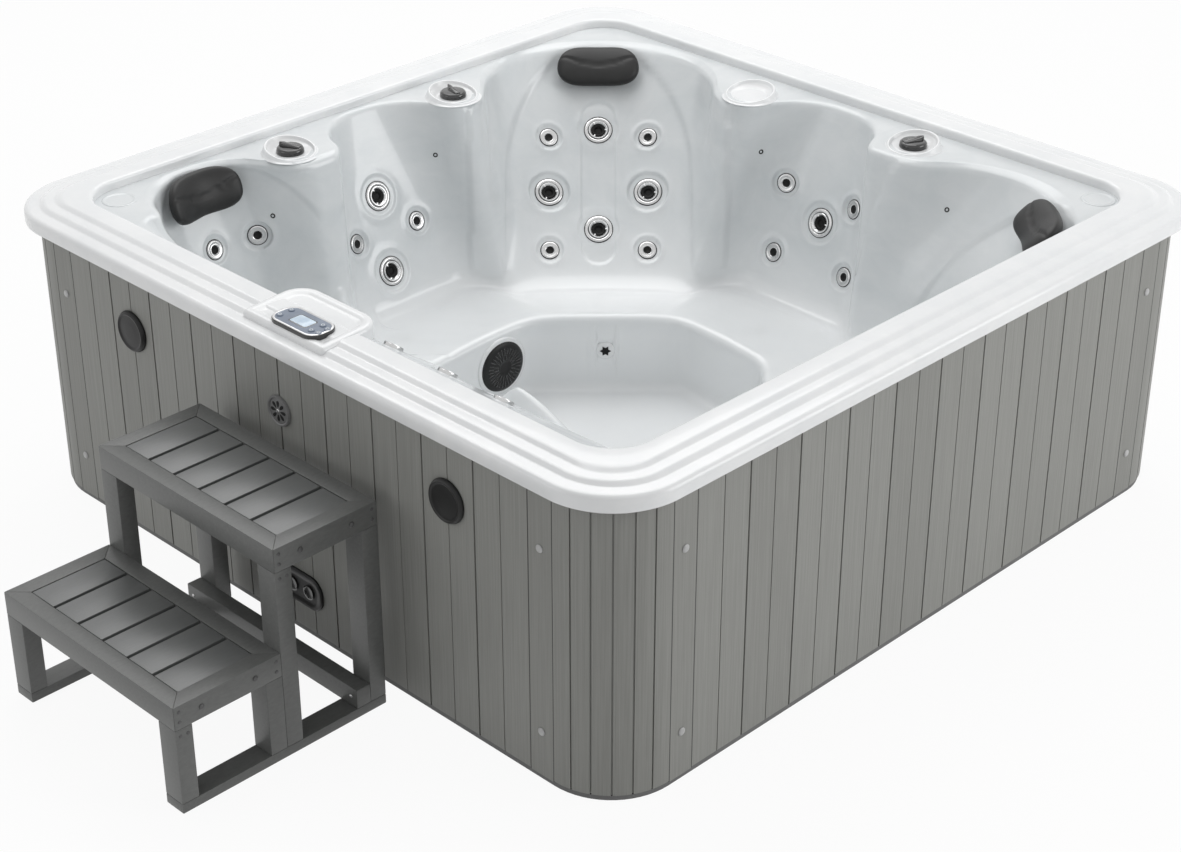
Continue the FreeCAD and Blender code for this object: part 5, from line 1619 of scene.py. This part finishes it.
# %% Legs, rails and bolts of the steps
CROSS_DEEP, CROSS_HIGH, CROSS_SCREW_IN = 0.040, 0.050, 0.022
low_legs, high_legs = LOW_TOP - FRAME_HIGH, HIGH_TOP - FRAME_HIGH
legs, rails = [], []
for edge in (STEP_LEFT, STEP_RIGHT - LEG):
    for y, top in ((STEP_FRONT, low_legs), (STEP_FRONT + TREAD - LEG_DEEP, low_legs),
                   (STEP_FRONT + TREAD, high_legs), (STEP_REAR - LEG_DEEP, high_legs)):
        legs.append((block(edge, edge + LEG, y, y + LEG_DEEP, RAIL, top), step_board))
    rails.append((block(edge, edge + LEG, STEP_FRONT, STEP_REAR, 0.0, RAIL), step_board))
attach(joined("step_leg_boards", legs), "entry_steps", "step", "step_legs")
attach(joined("step_floor_rails", rails), "entry_steps", "step", "step_base_rails")
cross_rear = STEP_REAR - LEG_DEEP
cross_front = cross_rear - CROSS_DEEP
cross = block(STEP_LEFT, STEP_RIGHT, cross_front, cross_rear, RAIL, RAIL + CROSS_HIGH)
attach(joined("step_cross_board", [(cross, step_board)]), "entry_steps", "step", "step_cross_rail")
BOLT = rounded([(0.0, -0.001), (0.0068, -0.001), (0.0068, 0.0022), (0.0040, 0.0036), (0.0, 0.0038)],
               0.0008, 3)
PIN = rounded([(0.0, -0.001), (0.0046, -0.001), (0.0044, 0.0010), (0.0, 0.0018)], 0.0006, 3)
PIN_IN, PIN_DROPS, LEG_PIN_DROP, LEG_PIN_SHARES = 0.014, (0.016, 0.042), 0.018, (0.28, 0.72)
bolt_spots, pin_spots = [], []
for side, edge in ((-1, STEP_LEFT), (1, STEP_RIGHT)):
    outward = (side, 0, 0)
    for _, front, top in treads:
        for share in (0.25, 0.75):
            bolt_spots.append(facing((edge, front + TREAD * share, top - FRAME_HIGH / 2), outward))
        for y in (front + PIN_IN, front + TREAD - PIN_IN):
            pin_spots += [facing((edge, y, top - drop), outward) for drop in PIN_DROPS]
    for y, top in ((STEP_FRONT, low_legs), (STEP_FRONT + TREAD, high_legs)):
        for share in LEG_PIN_SHARES:
            pin_spots.append(facing((edge, y + LEG_DEEP * share, top - LEG_PIN_DROP), outward))
bolts = grown("step_bolt_heads", on_points, lathe(BOLT, 20), step_bolt, bolt_spots)
attach(bolts, "entry_steps", "step_bolt", "step_bolts")
pins = grown("step_pins", on_points, lathe(PIN, 16), step_bolt, pin_spots)
attach(pins, "entry_steps", "step_bolt")
cross_spots = [facing((x, cross_front, RAIL + CROSS_HIGH / 2), (0, -1, 0))
               for x in (STEP_LEFT + CROSS_SCREW_IN, STEP_RIGHT - CROSS_SCREW_IN)]
cross_screws = grown("step_cross_screws", on_points, lathe(PIN, 16), silver_rim, cross_spots)
attach(cross_screws, "entry_steps", "step_bolt")
print("legs", len(legs), "rails", len(rails) + 1, "bolts", len(bolt_spots), "pins", len(pin_spots))

# %% [markdown]
# ## Boards, frame and equipment
# The side panels, corner covers and strips already have their shape, grooves included, so they only get the
# board finish. Behind them the frame is timber, and the pumps, pipes and boxes have the finishes of their
# kind. These are hidden while the panels are on, and still get their own finish, because a panel can be
# taken off.

# %% Finishes of the constructed pieces
pan_plastic = mottled("pan_plastic", grey(0.12), grey(0.15), 6, 300, 0.0008, (0.5, 0.65))
pump_plastic = mottled("pump_plastic", (0.02, 0.022, 0.026), (0.035, 0.037, 0.042), 8, 500, 0.0003,
                       (0.35, 0.5))
motor_paint = mottled("motor_paint", (0.05, 0.09, 0.16), (0.07, 0.12, 0.2), 8, 600, 0.0003, (0.35, 0.5))
pipe_plastic = mottled("pipe_plastic", grey(0.62), grey(0.7), 5, 400, 0.0002, (0.3, 0.42))
box_plastic = mottled("box_plastic", grey(0.16), grey(0.21), 6, 500, 0.0003, (0.4, 0.55))
steel_tube = mottled("steel_tube", grey(0.42), grey(0.5), 10, 700, 0.0001, (0.22, 0.34), Metallic=1.0)
DRESSED = {
    cabinet_board: ["front_panel", "right_panel", "rear_panel", "left_panel"],
    corner_board: ["corner_cover_rear_right", "corner_cover_rear_left", "corner_cover_front_left",
                   "corner_cover_front_right"],
    strip_board: ["panel_strips"],
    frame_timber: ["frame_posts", "bottom_rails", "top_rails", "footwell_cradle"],
    pan_plastic: ["base_pan"],
    pump_plastic: ["pump_wet_ends", "air_blower", "diverter_stems"],
    motor_paint: ["pump_motors"],
    pipe_plastic: ["suction_pipe", "jet_manifold"],
    box_plastic: ["control_box"],
    steel_tube: ["heater_tube"],
}
for finish, names in DRESSED.items():
    for name in names:
        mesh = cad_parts[name].data
        mesh.materials.clear()
        mesh.materials.append(finish)
print("constructed pieces dressed", sum(len(names) for names in DRESSED.values()))

# %% [markdown]
# ## Studio
# The tub stands on a plain pale floor in soft light. The key light is a wide panel on the right, a weaker one
# fills the front, and a large one hangs overhead. The floor is nearly white paper: it takes the shadow as any
# floor does, and what the camera sees of it is mostly its own glow, so it runs out into a white background.


# %% Studio floor, world and lamps
FLOOR_HALF, FLOOR_Z = 30, -0.0005
# Share of glow in what is seen of the floor, and strength of the light that comes from all round
FLOOR_GLOW, AROUND_GLOW = 0.93, 0.50
LIT_PLACE = (0, 0, 0.4)


def is_seen(tree):
    """1 for rays that come from the camera, from a mirror or through glass."""
    path = add_node(tree, "ShaderNodeLightPath")
    total = path.outputs["Is Camera Ray"]
    for name in ("Is Glossy Ray", "Is Transmission Ray"):
        total = plain_sum(tree, "MAXIMUM", total, path.outputs[name])
    return total


def studio_floor():
    material, tree, shader = start_finish("studio_paper", Roughness=0.9)
    paper = noise(tree, object_place(tree), 3.0)
    tree.links.new(ramp(tree, paper, (0.3, grey(0.86)), (0.7, grey(0.88))), shader.inputs["Base Color"])
    glow = add_node(tree, "ShaderNodeEmission", Strength=1.0)
    glow.inputs["Color"].default_value = (1, 1, 1, 1)
    mix = add_node(tree, "ShaderNodeMixShader")
    tree.links.new(plain_sum(tree, "MULTIPLY", is_seen(tree), FLOOR_GLOW), mix.inputs["Fac"])
    tree.links.new(shader.outputs[0], mix.inputs[1])
    tree.links.new(glow.outputs[0], mix.inputs[2])
    tree.links.new(mix.outputs[0], tree.nodes["Material Output"].inputs["Surface"])
    points = [(FLOOR_HALF * sx, FLOOR_HALF * sy, FLOOR_Z) for sx, sy in ((-1, -1), (1, -1), (1, 1), (-1, 1))]
    floor = new_piece("studio_floor", points, [(0, 1, 2, 3)], material)


def studio_world():
    world = bpy.data.worlds.new("studio")
    world.use_nodes = True
    scene.world = world
    tree = world.node_tree
    back = tree.nodes["Background"]
    back.inputs["Color"].default_value = (1.0, 1.0, 1.0, 1)
    tree.links.new(spread(tree, is_seen(tree), AROUND_GLOW, 1.0), back.inputs["Strength"])


def lamp(name, size, power, place):
    light = bpy.data.lights.new(name, "AREA")
    light.shape = "SQUARE"
    light.size = size
    light.energy = power
    thing = bpy.data.objects.new(name, light)
    thing.location = place
    thing.rotation_euler = (Vector(LIT_PLACE) - Vector(place)).to_track_quat("-Z", "Y").to_euler()
    scene.collection.objects.link(thing)


studio_floor()
studio_world()
lamp("key", 4.0, 162, (5.8, 3.5, 2.5))
lamp("fill", 3.5, 34, (-2.4, -6.2, 2.6))
lamp("overhead", 4.5, 150, (-1.9, 1.3, 5.0))
